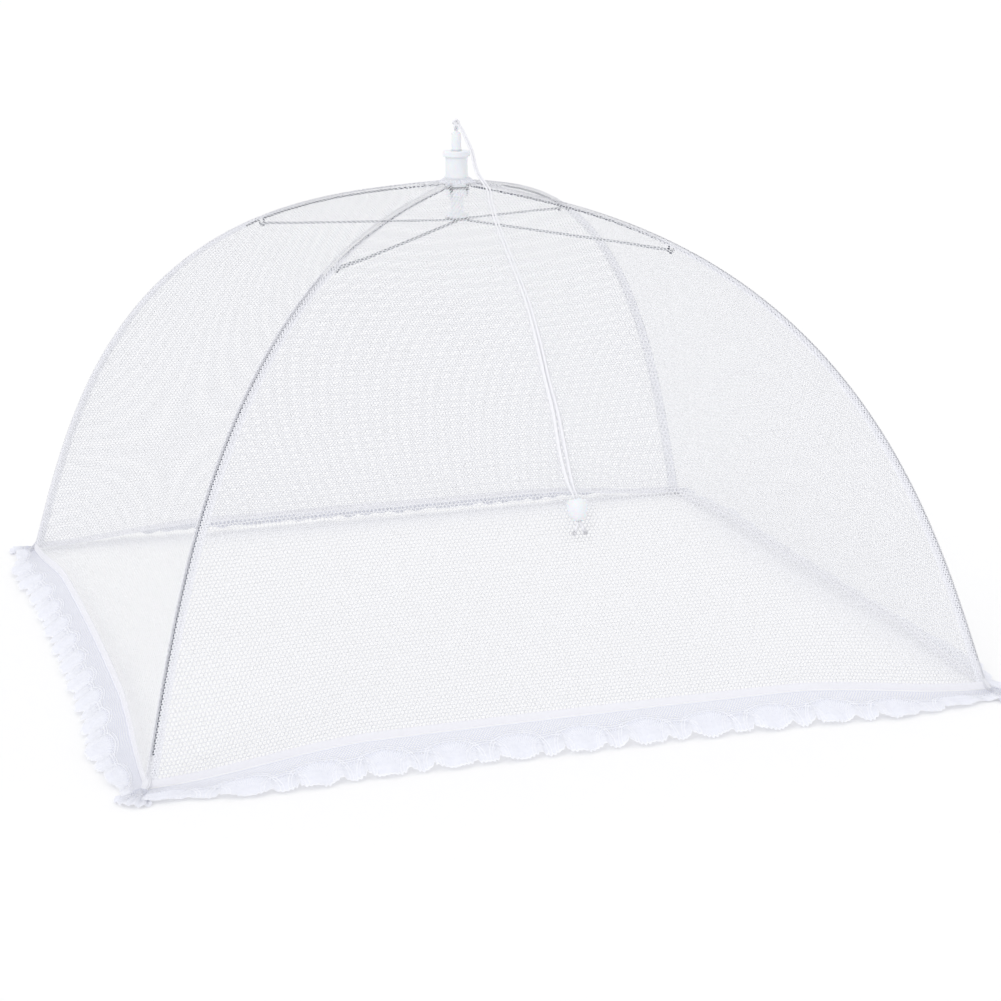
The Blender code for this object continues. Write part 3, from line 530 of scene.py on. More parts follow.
for shape in (worked_edge, sewn):
    motif = calc(lace_group, "MAXIMUM", motif, shape)
solid = calc(lace_group, "MINIMUM", calc(lace_group, "MULTIPLY", motif, 1.8), 1.0)
lace_group.links.new(calc(lace_group, "MAXIMUM", ground.outputs["Threads"], solid), wanted["Threads"])
ground_height = calc(lace_group, "MULTIPLY", ground.outputs["Height"], 0.2)
lace_group.links.new(calc(lace_group, "MAXIMUM", ground_height, motif), wanted["Height"])

# %% [markdown]
# Each finish is a plain shader. The groups give net, tape and lace their holes and bump, and their
# fine threads let part of the light through. Their colour is painted darker where a group's height
# is low, as painted shade: at the rims of a net's threads, in the hollows of a weave, and on the lace's
# open ground. Noise gives the moulded hub a faint unevenness and the wire the lengthwise streaks that
# drawing leaves. Ribs, stretchers and rings differ in colour.

# %% Finishes
def finish(name, colour, roughness, metallic=0.0, sheen=0.0):
    material = bpy.data.materials.new(name)
    material.use_nodes = True
    shader = material.node_tree.nodes["Principled BSDF"]
    shader.inputs["Base Color"].default_value = (*colour, 1.0)
    shader.inputs["Roughness"].default_value = roughness
    shader.inputs["Metallic"].default_value = metallic
    shader.inputs["Sheen Weight"].default_value = sheen
    return material, material.node_tree, shader


def map_of(tree):
    return add(tree, "ShaderNodeUVMap", uv_map=CUT_MAP).outputs[0]


def place_of(tree, stretch=(1.0, 1.0, 1.0)):
    place = add(tree, "ShaderNodeTexCoord").outputs["Object"]
    return vector_calc(tree, "MULTIPLY", place, stretch)


def vary_colour(tree, shader, value, dark, light):
    """Colour between two shades by a value over the surface."""
    mix = add(tree, "ShaderNodeMix", data_type="RGBA")
    tree.links.new(value, mix.inputs["Factor"])
    for socket, colour in zip(MIX_COLOURS, (dark, light)):
        mix.inputs[socket].default_value = (*colour, 1.0)
    tree.links.new(mix.outputs[MIX_COLOUR_OUT], shader.inputs["Base Color"])


def raise_by(tree, shader, height, distance):
    bump = add(tree, "ShaderNodeBump")
    bump.inputs["Strength"].default_value = 1.0
    bump.inputs["Distance"].default_value = distance
    tree.links.new(height, bump.inputs["Height"])
    tree.links.new(bump.outputs["Normal"], shader.inputs["Normal"])


def noise_of(tree, place, scale, detail=3.0):
    noise = add(tree, "ShaderNodeTexNoise")
    tree.links.new(place, noise.inputs["Vector"])
    noise.inputs["Scale"].default_value = scale
    noise.inputs["Detail"].default_value = detail
    return noise.outputs["Fac"]


NET_PASSES = 0.65  # the share of the light that goes on through a white thread
LACE_PASSES = 0.35


def fine_threads(tree, shader, threads, passes):
    """Fine white threads pass a share of the light, so only the camera's rays see them solid."""
    seen = add(tree, "ShaderNodeLightPath").outputs["Is Camera Ray"]
    held = calc(tree, "MULTIPLY_ADD", seen, passes, 1 - passes)
    tree.links.new(calc(tree, "MULTIPLY", threads, held), shader.inputs["Alpha"])


def net_finish(name, pitch, thread, dark, light):
    material, tree, shader = finish(name, light, 0.75, sheen=0.2)
    net = add(tree, "ShaderNodeGroup", node_tree=net_group)
    tree.links.new(map_of(tree), net.inputs["Place"])
    net.inputs["Pitch"].default_value = pitch
    net.inputs["Thread"].default_value = thread
    fine_threads(tree, shader, net.outputs["Threads"], NET_PASSES)
    # Painted shade: each thread is coloured darker towards its rims than along its middle, by the group's
    # height.
    vary_colour(tree, shader, net.outputs["Height"], dark, light)
    raise_by(tree, shader, net.outputs["Height"], 0.0002)
    return material, tree, net


NET_WHITE = net_finish("white_net", 0.0020, 0.130, (0.91, 0.92, 0.97), (0.95, 0.955, 0.99))[0]
GATHER_NET = net_finish("white_gathered_net", 0.0012, 0.27, (0.84, 0.85, 0.93), (0.91, 0.915, 0.97))[0]
CHANNEL_NET = net_finish("white_channel_net", 0.0013, 0.42, (0.87, 0.88, 0.95), (0.93, 0.935, 0.985))[0]

# %% [markdown]
# A seam is several layers of net, so it is denser than the gores, except right over the wire, where
# one layer is stretched and the dark steel shows through it as dots. The thread's thickness
# therefore grows with the distance from the middle of the tape.

# %% Seam tape finish
OVER_WIRE = 0.0012
THIN_TAPE_END = 0.115  # along the tape; nearer the crown it is a single thin layer
TAPE_NET, tree, net = net_finish("white_tape_net", 0.0015, 0.17, (0.87, 0.88, 0.95), (0.93, 0.935, 0.98))
tape_place = add(tree, "ShaderNodeSeparateXYZ", (map_of(tree),)).outputs
open_part = soft_step(tree, calc(tree, "ABSOLUTE", tape_place[0]), OVER_WIRE, 0.0003)
near_crown = soft_step(tree, calc(tree, "ABSOLUTE", tape_place[1]), THIN_TAPE_END, 0.03)
thread = calc(tree, "MULTIPLY_ADD", open_part, -0.22, 0.30)
thread = calc(tree, "MAXIMUM", calc(tree, "MULTIPLY_ADD", near_crown, -0.18, thread), 0.08)
tree.links.new(thread, net.inputs["Thread"])

LACE_WHITE, tree, shader = finish("white_lace", (0.84, 0.86, 0.93), 0.82, sheen=0.2)
lace = add(tree, "ShaderNodeGroup", node_tree=lace_group)
tree.links.new(map_of(tree), lace.inputs["Place"])
fine_threads(tree, shader, lace.outputs["Threads"], LACE_PASSES)
# The dense motif keeps its own whiter white. The open ground's darker lavender-grey colour is painted shade.
vary_colour(tree, shader, lace.outputs["Height"], (0.70, 0.72, 0.84), (0.90, 0.91, 0.965))
raise_by(tree, shader, lace.outputs["Height"], 0.0003)


def woven_finish(name, across, along, dark, light, distance):
    material, tree, shader = finish(name, light, 0.8, sheen=0.2)
    weave = add(tree, "ShaderNodeGroup", node_tree=weave_group)
    tree.links.new(map_of(tree), weave.inputs["Place"])
    weave.inputs["Across"].default_value = across
    weave.inputs["Along"].default_value = along
    # Painted shade: the weave is coloured darker in the hollows between its crossing threads, by the group's
    # height.
    vary_colour(tree, shader, weave.outputs["Height"], dark, light)
    raise_by(tree, shader, weave.outputs["Height"], distance)
    return material


HEM_WHITE = woven_finish("white_tape", 1100.0, 1100.0, (0.86, 0.86, 0.93), (0.93, 0.93, 0.96), 0.0001)
CORD_WHITE = woven_finish("white_cord", 3.0, 900.0, (0.83, 0.83, 0.89), (0.95, 0.95, 0.97), 0.0001)
GATHER_WHITE = woven_finish("gathered_net", 900.0, 1400.0, (0.84, 0.85, 0.92), (0.93, 0.93, 0.97), 0.0001)

PLASTIC_WHITE, tree, shader = finish("white_plastic", (0.86, 0.88, 0.92), 0.35)
cloudy = noise_of(tree, place_of(tree), 260.0)
vary_colour(tree, shader, cloudy, (0.79, 0.82, 0.86), (0.86, 0.88, 0.91))
shader.inputs["Subsurface Weight"].default_value = 0.2
shader.inputs["Subsurface Scale"].default_value = 0.002
raise_by(tree, shader, noise_of(tree, place_of(tree), 900.0), 0.00004)


def wire_finish(name, dark, light):
    material, tree, shader = finish(name, light, 0.35, metallic=1.0)
    streaks = noise_of(tree, place_of(tree, (1.0, 1.0, 0.25)), 2600.0)
    vary_colour(tree, shader, streaks, dark, light)
    rough = add(tree, "ShaderNodeMapRange")
    tree.links.new(streaks, rough.inputs["Value"])
    rough.inputs["To Min"].default_value = 0.25
    rough.inputs["To Max"].default_value = 0.48
    tree.links.new(rough.outputs["Result"], shader.inputs["Roughness"])
    raise_by(tree, shader, streaks, 0.00002)
    return material


SPRING_WIRE = wire_finish("spring_wire", (0.06, 0.065, 0.09), (0.20, 0.21, 0.25))
STRETCHER_WIRE = wire_finish("stretcher_wire", (0.26, 0.27, 0.30), (0.55, 0.56, 0.60))
RING_STEEL = wire_finish("ring_wire", (0.20, 0.21, 0.23), (0.42, 0.43, 0.45))

# %% [markdown]
# The hard pieces keep their solids' shapes, so they only change their finish.

# %% Dress the hard pieces
RIM_ANGLE = math.radians(35)

for name, node in NODES.items():
    hard = None
    if name in ("crown_hub", "runner", "cord_bell"):
        hard = PLASTIC_WHITE
    elif name in ("crown_ring", "runner_ring"):
        hard = RING_STEEL
    elif name.startswith("rib_"):
        hard = SPRING_WIRE
    elif name.startswith("stretcher_"):
        hard = STRETCHER_WIRE
    if hard:
        node.data.materials.clear()
        node.data.materials.append(hard)
        node.data.shade_smooth()
        node.data.set_sharp_from_angle(angle=RIM_ANGLE)

# %% [markdown]
# The pull cord is one doubled cord, knotted in the eye of the runner's stem. Both strands hang down
# the front panel and through the plastic end piece. The route repeats the solid's, as shares of the
# rib's length and of the panel's width.

# %% Pull cord
CORD = 0.0011
CORD_SPACING = 0.0005
BELL_RADIUS = 0.0051
BELL_HEIGHT = 0.0108
BELL_EDGE = 0.0008
BELL_ALONG_SHARE = 0.736
BELL_ACROSS_SHARE = 0.516
TAIL_DROP = 0.0048
TAIL_SPREAD = 3
CORD_POINT_SPACING = 0.0015
CORD_DROP = (
    (0.00145, 0.880, 0.0342), (0.0034, 0.870, 0.0324), (0.0058, 0.860, 0.0292),
    (0.0088, 0.840, 0.0246), (0.0117, 0.830, 0.0199), (0.0160, 0.800, 0.0098),
)
CORD_LAY = (
    (0.045, 0.770, 0.0014, 0.0008), (0.082, 0.670, 0.0007, 0.0008), (0.125, 0.590, 0.0001, 0.0008),
    (0.170, 0.545, 0.0, 0.0008), (0.234, 0.516, 0.0, 0.0008), (0.341, 0.505, 0.0, 0.0008),
    (0.426, 0.508, 0.0, 0.0009), (0.501, 0.508, 0.0, 0.0010), (0.566, 0.508, 0.0, 0.0010),
    (0.612, 0.511, 0.0001, 0.0012), (0.655, 0.511, 0.0004, 0.0015), (0.685, 0.511, 0.0016, 0.0015),
    (0.714, 0.512, 0.0036, 0.0011),
)
SWELL_START = 0.120  # down the strand from the knot
SWELL_LENGTH = 0.080
SWELL = 0.75
SWELL_END = 0.0270  # up the strand from its cut end
SWELL_END_LENGTH = 0.0090


def on_net(along_share, across, rise):
    """A point over the front panel, and the way out of it."""
    along = RIB_LENGTH * along_share
    point = canopy_point(along, across)
    down = canopy_point(along + WIRE, across) - point
    aside = canopy_point(along, across + WIRE / RIB_LENGTH) - point
    out = down.cross(aside).normalized()
    return point + out * (NET / 2 + GAP + CORD / 2 + rise), out


def cord_route(side):
    half = CORD / 2 + CORD_SPACING / 2
    points = []
    for radius, across, height in CORD_DROP:
        turn = across * QUARTER
        aside = Vector((-math.sin(turn), math.cos(turn), 0.0)) * half * side
        points.append(Vector((radius * math.cos(turn), radius * math.sin(turn), height)) + aside)
    for index, (along_share, across, rise, half_spread) in enumerate(CORD_LAY):
        here, out = on_net(along_share, across, rise)
        before = CORD_LAY[max(index - 1, 0)]
        after = CORD_LAY[min(index + 1, len(CORD_LAY) - 1)]
        way = on_net(*after[:3])[0] - on_net(*before[:3])[0]
        points.append(here + out.cross(way).normalized() * half_spread * side)
    rise = BELL_RADIUS - CORD / 2
    top, out = on_net(BELL_ALONG_SHARE, BELL_ACROSS_SHARE, rise)
    below = on_net(BELL_ALONG_SHARE + BELL_HEIGHT / RIB_LENGTH, BELL_ACROSS_SHARE, rise)[0]
    way = (below - top).normalized()
    aside = out.cross(way) * half * side
    for distance in (-BELL_EDGE, BELL_HEIGHT / 2, BELL_HEIGHT + BELL_EDGE):
        points.append(top + way * distance + aside)
    points.append(top + way * (BELL_HEIGHT + TAIL_DROP) + aside * TAIL_SPREAD - out * CORD)
    return points


def strand_swell(distance, long):
    """The braid's width as a share: drawn tight at the top and in the end piece, open where slack."""
    opened = ease((distance - SWELL_START) / SWELL_LENGTH)
    closed = ease((distance - long + SWELL_END) / SWELL_END_LENGTH)
    tail = ease((distance - long + TAIL_DROP * 0.8) / (TAIL_DROP * 0.5))
    return 1.0 + SWELL * (opened * (1.0 - closed) + 0.6 * tail)


FRAY_THREAD = 0.00042
FRAY_LENGTH = 0.0028
FRAY_COUNT = 13


def fray_paths(path):
    """Fine threads that splay from the strand's cut end, evenly round it."""
    way = (path[-1] - path[-2]).normalized()
    side = way.orthogonal().normalized()
    paths = []
    for k in range(FRAY_COUNT):
        angle = 2.4 * k
        ring = math.sqrt((k + 0.5) / FRAY_COUNT)
        out = (side * math.cos(angle) + way.cross(side) * math.sin(angle)) * ring
        start = path[-1] - way * CORD + out * CORD * 0.62
        end = path[-1] + way * FRAY_LENGTH * (1 - 0.3 * ring) + out * CORD * 1.05
        paths.append([start, start.lerp(end, 0.5) - way * CORD * 0.1 * ring + out * CORD * 0.1, end])
    return paths


CORD_SIDES = 12
for name, side in (("left", -1), ("right", 1)):
    path = [placed(point, FIRST_RIB) for point in smooth_route(cord_route(side), CORD_POINT_SPACING)]
    distances = [0.0]
    for a, b in zip(path, path[1:]):
        distances.append(distances[-1] + (b - a).length)
    long = distances[-1]
    swell = [strand_swell(distance, long) for distance in distances]
    strand = tubes(f"cord_strand_{name}", [path], CORD / 2, CORD_SIDES, CORD_WHITE, swell)
    fray = tubes(f"cord_fray_{name}", fray_paths(path), FRAY_THREAD / 2, 5, CORD_WHITE)
    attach(fray, "canopy")
    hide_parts(f"pull_cord_{name}")
    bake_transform(strand)
    print("strand", name, round(long, 4), "m")

# %% [markdown]
# The knot is soft, so it is made as cord: the loop through the eye, and an overhand knot above it. An
# overhand knot is a trefoil, so three waves of one curve give its crossings.

# %% Cord knot
EYE_BALL_RADIUS = 0.0015
STEM_TOP = 0.0293
SHOULDER = 0.0012
KNOT_RADIUS = 0.0013
LOOP_WIDTH = 0.0019
LOOP_SHARES = ((0.0, 0.0), (0.6, 0.0), (0.95, 0.18), (1.0, 0.42), (0.8, 0.72), (0.2, 1.0))
knot_height = EYE_BALL_RADIUS + GAP + KNOT_RADIUS
eye_height = STEM_TOP + SHOULDER + EYE_BALL_RADIUS
side_points = []
for wide, high in LOOP_SHARES:
    side_points.append(Vector((LOOP_WIDTH * wide, 0.0, eye_height + knot_height * high)))
other_points = [Vector((-p.x, 0.0, p.z)) for p in reversed(side_points[1:])]
TREFOIL_SCALE = 0.00082
TREFOIL_STEPS = 72
trefoil = []
for k in range(TREFOIL_STEPS + 1):
    t = 2 * math.pi * k / TREFOIL_STEPS
    trefoil.append(Vector((
        TREFOIL_SCALE * (math.sin(t) + 2 * math.sin(2 * t)),
        -TREFOIL_SCALE * 1.1 * math.sin(3 * t),
        eye_height + knot_height + TREFOIL_SCALE * (math.cos(t) - 2 * math.cos(2 * t)),
    )))
loop = smooth_route(other_points + side_points, CORD / 3)
knot_paths = [[placed(p, FIRST_RIB) for p in line] for line in (loop, trefoil)]
knot = tubes("cord_knot_tied", knot_paths, CORD * 0.45, 12, CORD_WHITE)
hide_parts("cord_knot")
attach(knot, "runner")

# %% [markdown]
# Each gore of net is made in two halves that meet on its middle line. Near the crown the cloth is
# drawn in, which shows as small pleats that fade outwards.

# %% Net gores
NET_ROWS = 56
NET_COLUMNS = 24
NET_GROWTH = 1.3
SEAM_UNDER = 0.0012
PLEATS = 14
PLEAT_DEPTH = 0.0006
PLEAT_FADE = 0.055
WAVE_DEPTH = 0.0005


def top_along():
    return (NET_TOP_RADIUS - RING_RADIUS) / math.cos(TOP_SLOPE)


def net_ripple(along, share):
    """Pleats that fade out from the crown, and a slight unevenness inwards elsewhere."""
    fade = 1 - ease((along - top_along()) / PLEAT_FADE)
    pleat = PLEAT_DEPTH * fade * (1 - math.cos(2 * math.pi * PLEATS * share)) / 2
    slack = 4 * share * (1 - share)
    wave = math.sin(9 * share + 31 * along) * math.sin(23 * along - 5 * share)
    return pleat - WAVE_DEPTH * slack * (1 - fade) * (1 + wave) / 2


def half_shares(half, columns):
    """Shares across a gore, from its seam to its middle or from its middle to its seam."""
    return [(half + k / columns) / 2 for k in range(columns + 1)]


def between(edge, share):
    return edge + (1 - 2 * edge) * share


def bend_with_rib(thing):
    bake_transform(thing)


GORES = {}
TRIM = {}
net_area = 0.0
for panel, name in enumerate(PANEL_NAMES):
    for half in range(2):
        start = top_along()
        length = RIB_LENGTH - HEM_HEIGHT / 2 - start
        shares = half_shares(half, NET_COLUMNS)
        rows = []
        for row in range(NET_ROWS + 1):
            along = start + length * (row / NET_ROWS) ** NET_GROWTH
            edge = across_at(along, SEAM_UNDER)
            points = [cloth_point(along, between(edge, s), net_ripple(along, s)) for s in shares]
            rows.append([placed(p, rib_turn(panel)) for p in points])
        middle = NET_COLUMNS * (1 - half)
        gore = sheet_from_rows(f"net_gore_{name}_{half + 1}", rows, NET_WHITE, first=middle)
        bend_with_rib(gore)
        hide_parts(f"net_panel_{name}")
        GORES[panel, half] = gore
        net_area += area_of(gore)
print("net area", round(net_area, 4), "m2")

# %% [markdown]
# Seam tapes cover the ribs. On the real cover the wire runs inside a folded seam of the same net,
# which is why it shows as a dotted dark line. The tape is denser beside the wire and lies in small
# lengthwise pleats.

# %% Seam tapes
TAPE_ROWS = 110
TAPE_RISE = 0.0004
TAPE_PLEAT = 0.00016
TAPE_SHOW_WIDTH = 0.0034
TAPE_COLUMNS = 6


def tape_rows(turn):
    start = top_along()
    length = RIB_LENGTH - HEM_HEIGHT / 2 - start
    rows = []
    for row in range(TAPE_ROWS + 1):
        along = start + length * row / TAPE_ROWS
        half = []
        for k in range(TAPE_COLUMNS + 1):
            across = across_at(along, TAPE_SHOW_WIDTH * k / TAPE_COLUMNS)
            half.append(cloth_point(along, across, TAPE_RISE - TAPE_PLEAT * (-1) ** k))
        row_points = [Vector((p.x, -p.y, p.z)) for p in reversed(half[1:])] + half
        rows.append([placed(p, turn) for p in row_points])
    return rows


CHANNEL_START = 0.138  # along the rib, clear of the stretcher's joint
CHANNEL_SHAPE = ((0.0, 0.0024), (0.0009, 0.0021), (0.0016, 0.0012), (0.0022, 0.0))  # across, under the net


def channel_rows(turn):
    """The inner side of the seam, which closes round the wire."""
    length = RIB_LENGTH - HEM_HEIGHT / 2 - CHANNEL_START
    rows = []
    for row in range(TAPE_ROWS + 1):
        along = CHANNEL_START + length * row / TAPE_ROWS
        half = [cloth_point(along, across_at(along, across), -under) for across, under in CHANNEL_SHAPE]
        row_points = [Vector((p.x, -p.y, p.z)) for p in reversed(half[1:])] + half
        rows.append([placed(p, turn) for p in row_points])
    return rows


for index, name in enumerate(RIB_NAMES):
    rows = tape_rows(rib_turn(index))
    tape = sheet_from_rows(f"seam_tape_net_{name}", rows, TAPE_NET, first=TAPE_COLUMNS)
    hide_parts(f"seam_tape_{name}")
    rows = channel_rows(rib_turn(index))
    channel = sheet_from_rows(f"seam_channel_{name}", rows, CHANNEL_NET, first=len(CHANNEL_SHAPE) - 1)
    for piece in (tape, channel):
        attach(piece, f"rib_{name}")
    TRIM[index, 0] = [tape, channel]

# %% [markdown]
# Stitches repeat every few millimetres along both edges of a seam tape. Geometry Nodes place them:
# a guide curve is cut into points at a named pitch, and a small rounded thread is put on each,
# turned along the seam. The result is realised and kept as one plain mesh for each rib.

# %% Geometry Nodes: a line of stitches
def build_stitch_tree():
    tree = bpy.data.node_groups.new("stitch_line", "GeometryNodeTree")
    face = tree.interface
    face.new_socket("Guide", in_out="INPUT", socket_type="NodeSocketGeometry")
    for title, value in (("Pitch", 0.0030), ("Stitch Length", 0.0021), ("Thread", 0.00032)):
        face.new_socket(title, in_out="INPUT", socket_type="NodeSocketFloat").default_value = value
    face.new_socket("Finish", in_out="INPUT", socket_type="NodeSocketMaterial")
    face.new_socket("Stitches", in_out="OUTPUT", socket_type="NodeSocketGeometry")
    given = tree.nodes.new("NodeGroupInput").outputs
    wanted = tree.nodes.new("NodeGroupOutput").inputs
    cut = tree.nodes.new("GeometryNodeCurveToPoints")
    cut.mode = "LENGTH"
    tree.links.new(given["Guide"], cut.inputs["Curve"])
    tree.links.new(given["Pitch"], cut.inputs["Length"])
    thread = tree.nodes.new("GeometryNodeMeshUVSphere")
    thread.inputs["Segments"].default_value = 6
    thread.inputs["Rings"].default_value = 5
    thread.inputs["Radius"].default_value = 0.5
    size = tree.nodes.new("ShaderNodeCombineXYZ")
    tree.links.new(given["Thread"], size.inputs["X"])
    tree.links.new(given["Thread"], size.inputs["Y"])
    tree.links.new(given["Stitch Length"], size.inputs["Z"])
    along = tree.nodes.new("FunctionNodeAlignRotationToVector")
    tree.links.new(cut.outputs["Tangent"], along.inputs["Vector"])
    place = tree.nodes.new("GeometryNodeInstanceOnPoints")
    tree.links.new(cut.outputs["Points"], place.inputs["Points"])
    tree.links.new(thread.outputs["Mesh"], place.inputs["Instance"])
    tree.links.new(along.outputs["Rotation"], place.inputs["Rotation"])
    tree.links.new(size.outputs["Vector"], place.inputs["Scale"])
    real = tree.nodes.new("GeometryNodeRealizeInstances")
    tree.links.new(place.outputs["Instances"], real.inputs["Geometry"])
    paint = tree.nodes.new("GeometryNodeSetMaterial")
    tree.links.new(real.outputs["Geometry"], paint.inputs["Geometry"])
    tree.links.new(given["Finish"], paint.inputs["Material"])
    tree.links.new(paint.outputs["Geometry"], wanted["Stitches"])
    return tree


STITCH_TREE = build_stitch_tree()
STITCH_WHITE, tree, shader = finish("stitch_thread", (0.90, 0.90, 0.95), 0.7, sheen=0.2)
twist = noise_of(tree, place_of(tree), 4200.0, 1.0)
vary_colour(tree, shader, twist, (0.80, 0.80, 0.88), (0.95, 0.95, 0.98))


def stitched(name, lines, pitch):
    """One plain mesh of stitches along guide lines."""
    curve = bpy.data.curves.new(f"{name}_guide", "CURVE")
    curve.dimensions = "3D"
    for line in lines:
        spline = curve.splines.new("POLY")
        spline.points.add(len(line) - 1)
        for knot_point, point in zip(spline.points, line):
            knot_point.co = (*point, 1.0)
    guide = bpy.data.objects.new(f"{name}_guide", curve)
    scene.collection.objects.link(guide)
    step = guide.modifiers.new("stitches", "NODES")
    step.node_group = STITCH_TREE
    inputs = [item for item in STITCH_TREE.interface.items_tree if item.in_out == "INPUT"]
    sockets = {item.name: item.identifier for item in inputs}
    step[sockets["Pitch"]] = pitch
    step[sockets["Finish"]] = STITCH_WHITE
    graph = bpy.context.evaluated_depsgraph_get()
    mesh = bpy.data.meshes.new_from_object(guide.evaluated_get(graph))
    bpy.data.objects.remove(guide, do_unlink=True)
    mesh.shade_smooth()
    thing = bpy.data.objects.new(name, mesh)
    scene.collection.objects.link(thing)
    print(name, len(mesh.polygons), "faces")
    return thing


STITCH_SIDE = 0.0021
STITCH_PITCH = 0.0030
for index, name in enumerate(RIB_NAMES):
    lines = []
    for side in (-1, 1):
        line = []
        for row in range(TAPE_ROWS + 1):
            along = top_along() + (RIB_LENGTH - HEM_HEIGHT - top_along()) * row / TAPE_ROWS
            p = cloth_point(along, across_at(along, STITCH_SIDE), TAPE_RISE * 1.5)
            line.append(placed((p.x, p.y * side, p.z), rib_turn(index)))
        lines.append(line)
    stitches = stitched(f"seam_stitches_{name}", lines, STITCH_PITCH)
    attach(stitches, f"rib_{name}")
    TRIM[index, 0].append(stitches)

# %% [markdown]
# A narrow woven band binds the foot of each gore, and the lace frill is sewn on below it. Both are
# made in halves, as the gores are.

# %% Hem bands
HEM = 0.0010
HEM_COLUMNS = 24
HEM_ROWS = 4


def thick_sheet(thing, thickness):
    """The sheet with its thickness kept as plain mesh, and its rim shaded as an edge."""
    shell = thing.modifiers.new("thickness", "SOLIDIFY")
    shell.thickness = thickness
    shell.offset = 0.0
    graph = bpy.context.evaluated_depsgraph_get()
    thing.data = bpy.data.meshes.new_from_object(thing.evaluated_get(graph))
    thing.modifiers.clear()
    thing.data.shade_smooth()
    thing.data.set_sharp_from_angle(angle=RIM_ANGLE)
    return thing


for panel, name in enumerate(PANEL_NAMES):
    for half in range(2):
        shares = half_shares(half, HEM_COLUMNS)
        rows = []
        for row in range(HEM_ROWS + 1):
            along = RIB_LENGTH - HEM_HEIGHT * (1 - row / HEM_ROWS)
            edge = across_at(along, SEAM_UNDER)
            points = [cloth_point(along, between(edge, s), NET) for s in shares]
            rows.append([placed(p, rib_turn(panel)) for p in points])
        middle = HEM_COLUMNS * (1 - half)
        band = sheet_from_rows(f"hem_binding_{name}_{half + 1}", rows, HEM_WHITE, first=middle)
        thick_sheet(band, HEM * 0.6)
        bend_with_rib(band)
        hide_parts(f"hem_band_{name}")
        lines = []
        for along in (RIB_LENGTH - HEM_HEIGHT * 0.82, RIB_LENGTH - HEM_HEIGHT * 0.18):
            edge = across_at(along, SEAM_UNDER)
            points = [cloth_point(along, between(edge, s), NET + HEM * 0.35) for s in shares]
            lines.append([placed(p, rib_turn(panel)) for p in points])
        stitches = stitched(f"hem_stitches_{name}_{half + 1}", lines, STITCH_PITCH)
        bend_with_rib(stitches)
        TRIM.setdefault((panel, half), []).extend([band, stitches])

# %% [markdown]
# A gore is cut flat, as half of a curved triangle, and stretched over its rib. Tapes and hem bands
# are narrow trim, sewn to the gores. The area of each gore is printed.

for (panel, half), gore in GORES.items():
    print(gore.name, round(area_of(gore), 4), "m2")

# %% [markdown]
# The frill runs out and down to the table, nearly flat. Its free edge repeats a large lobe and a
# small one, and the ragged teeth are cut into the shape itself, so the outline is real and not only
# painted.

# %% Lace frill
SCALLOPS = 13
SCALLOP_SHARE = 0.20
SMALL_LOBE_HEIGHT = 0.75
LOBE_POWER = 0.55
SCALLOP_COLUMNS = 60
TEETH = 15
TOOTH_SHARE = 0.055
RUFFLE = 0.0006
SEW_GAP = 0.0003
LACE_REST = 0.0012
LACE_DROOP = 1.5  # power: the lace runs out, then falls at its edge
LACE_TURN = math.radians(30)
LACE_TUCK_SHARE = 0.45
LACE_END_LENGTH = 0.045
LACE_ROWS = 9


def lace_end(x, y):
    """1 at the two ends of the lace, fading to 0 along it."""
    return 1 - ease(min(x, y) / LACE_END_LENGTH)


def lace_direction(x, y):
    turn = LACE_TURN * lace_end(x, y)
    return QUARTER / 2 + (turn if x < y else -turn)


def lobe(phase):
    """The free edge over one repeat, 0 in its notches: a large lobe, then a small one."""
    phase %= 1.0
    if phase < LARGE_LOBE:
        return max(math.sin(math.pi * phase / LARGE_LOBE), 0.0) ** LOBE_POWER
    small = max(math.sin(math.pi * (phase - LARGE_LOBE) / (1 - LARGE_LOBE)), 0.0)
    return SMALL_LOBE_HEIGHT * small**LOBE_POWER


def tooth(phase):
    """A ragged row of teeth, uneven in depth."""
    uneven = 0.65 + 0.35 * math.sin(17 * phase + 2 * math.sin(5 * phase))
    return uneven * (1 + math.sin(2 * math.pi * TEETH * phase)) / 2


def lace_point(share, down_share):
    phase = SCALLOPS * share
    down = down_share * (1 - SCALLOP_SHARE * (1 - lobe(phase)) + TOOTH_SHARE * tooth(phase) * down_share)
    hem = RIB_LENGTH + SEW_GAP
    edge = across_at(hem, SEAM_UNDER)
    x, y, z = cloth_point(hem, between(edge, share))
    fall = min(z + CROWN_Z - LACE_REST, LACE_WIDTH)
    run = math.sqrt(LACE_WIDTH**2 - fall**2) * down * (1 - LACE_TUCK_SHARE * lace_end(x, y))
    turn = lace_direction(x, y)
    wave = RUFFLE * down * (math.sin(2 * math.pi * phase) + 0.7 * math.sin(71 * math.pi * share + 1))
    height = z - fall * down**LACE_DROOP + wave + RUFFLE * down
    height = max(height, LACE_REST / 3 - CROWN_Z)
    return Vector((x + run * math.cos(turn), y + run * math.sin(turn), height))


half_columns = SCALLOPS * SCALLOP_COLUMNS // 2
for panel, name in enumerate(PANEL_NAMES):
    for half in range(2):
        shares = half_shares(half, half_columns)
        rows, cut = [], []
        for row in range(LACE_ROWS + 1):
            down_share = row / LACE_ROWS
            rows.append([placed(lace_point(s, down_share), rib_turn(panel)) for s in shares])
            cut += [(s * SCALLOPS, down_share) for s in shares]
        frill = sheet_from_rows(f"lace_frill_{name}_{half + 1}", rows, LACE_WHITE, cut=cut)
        bend_with_rib(frill)
        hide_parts(f"lace_{name}")

# %% [markdown]
# At the crown the top edge of the net is drawn in round the collar: a short, closely pleated skirt
# of the net itself, with a fine thread bound round its top. Both are one closed ring.

# %% Crown gather
SKIRT_TOP = (0.0067, 0.0052)  # radius and height over the crown ring
SKIRT_FOOT = (0.0099, 0.0026)
SKIRT_PLEATS = 26
SKIRT_PLEAT_DEPTH = 0.0004
SKIRT_STEPS = SKIRT_PLEATS * 10
SKIRT_ROWS = 10
BINDING_RADIUS = 0.00028


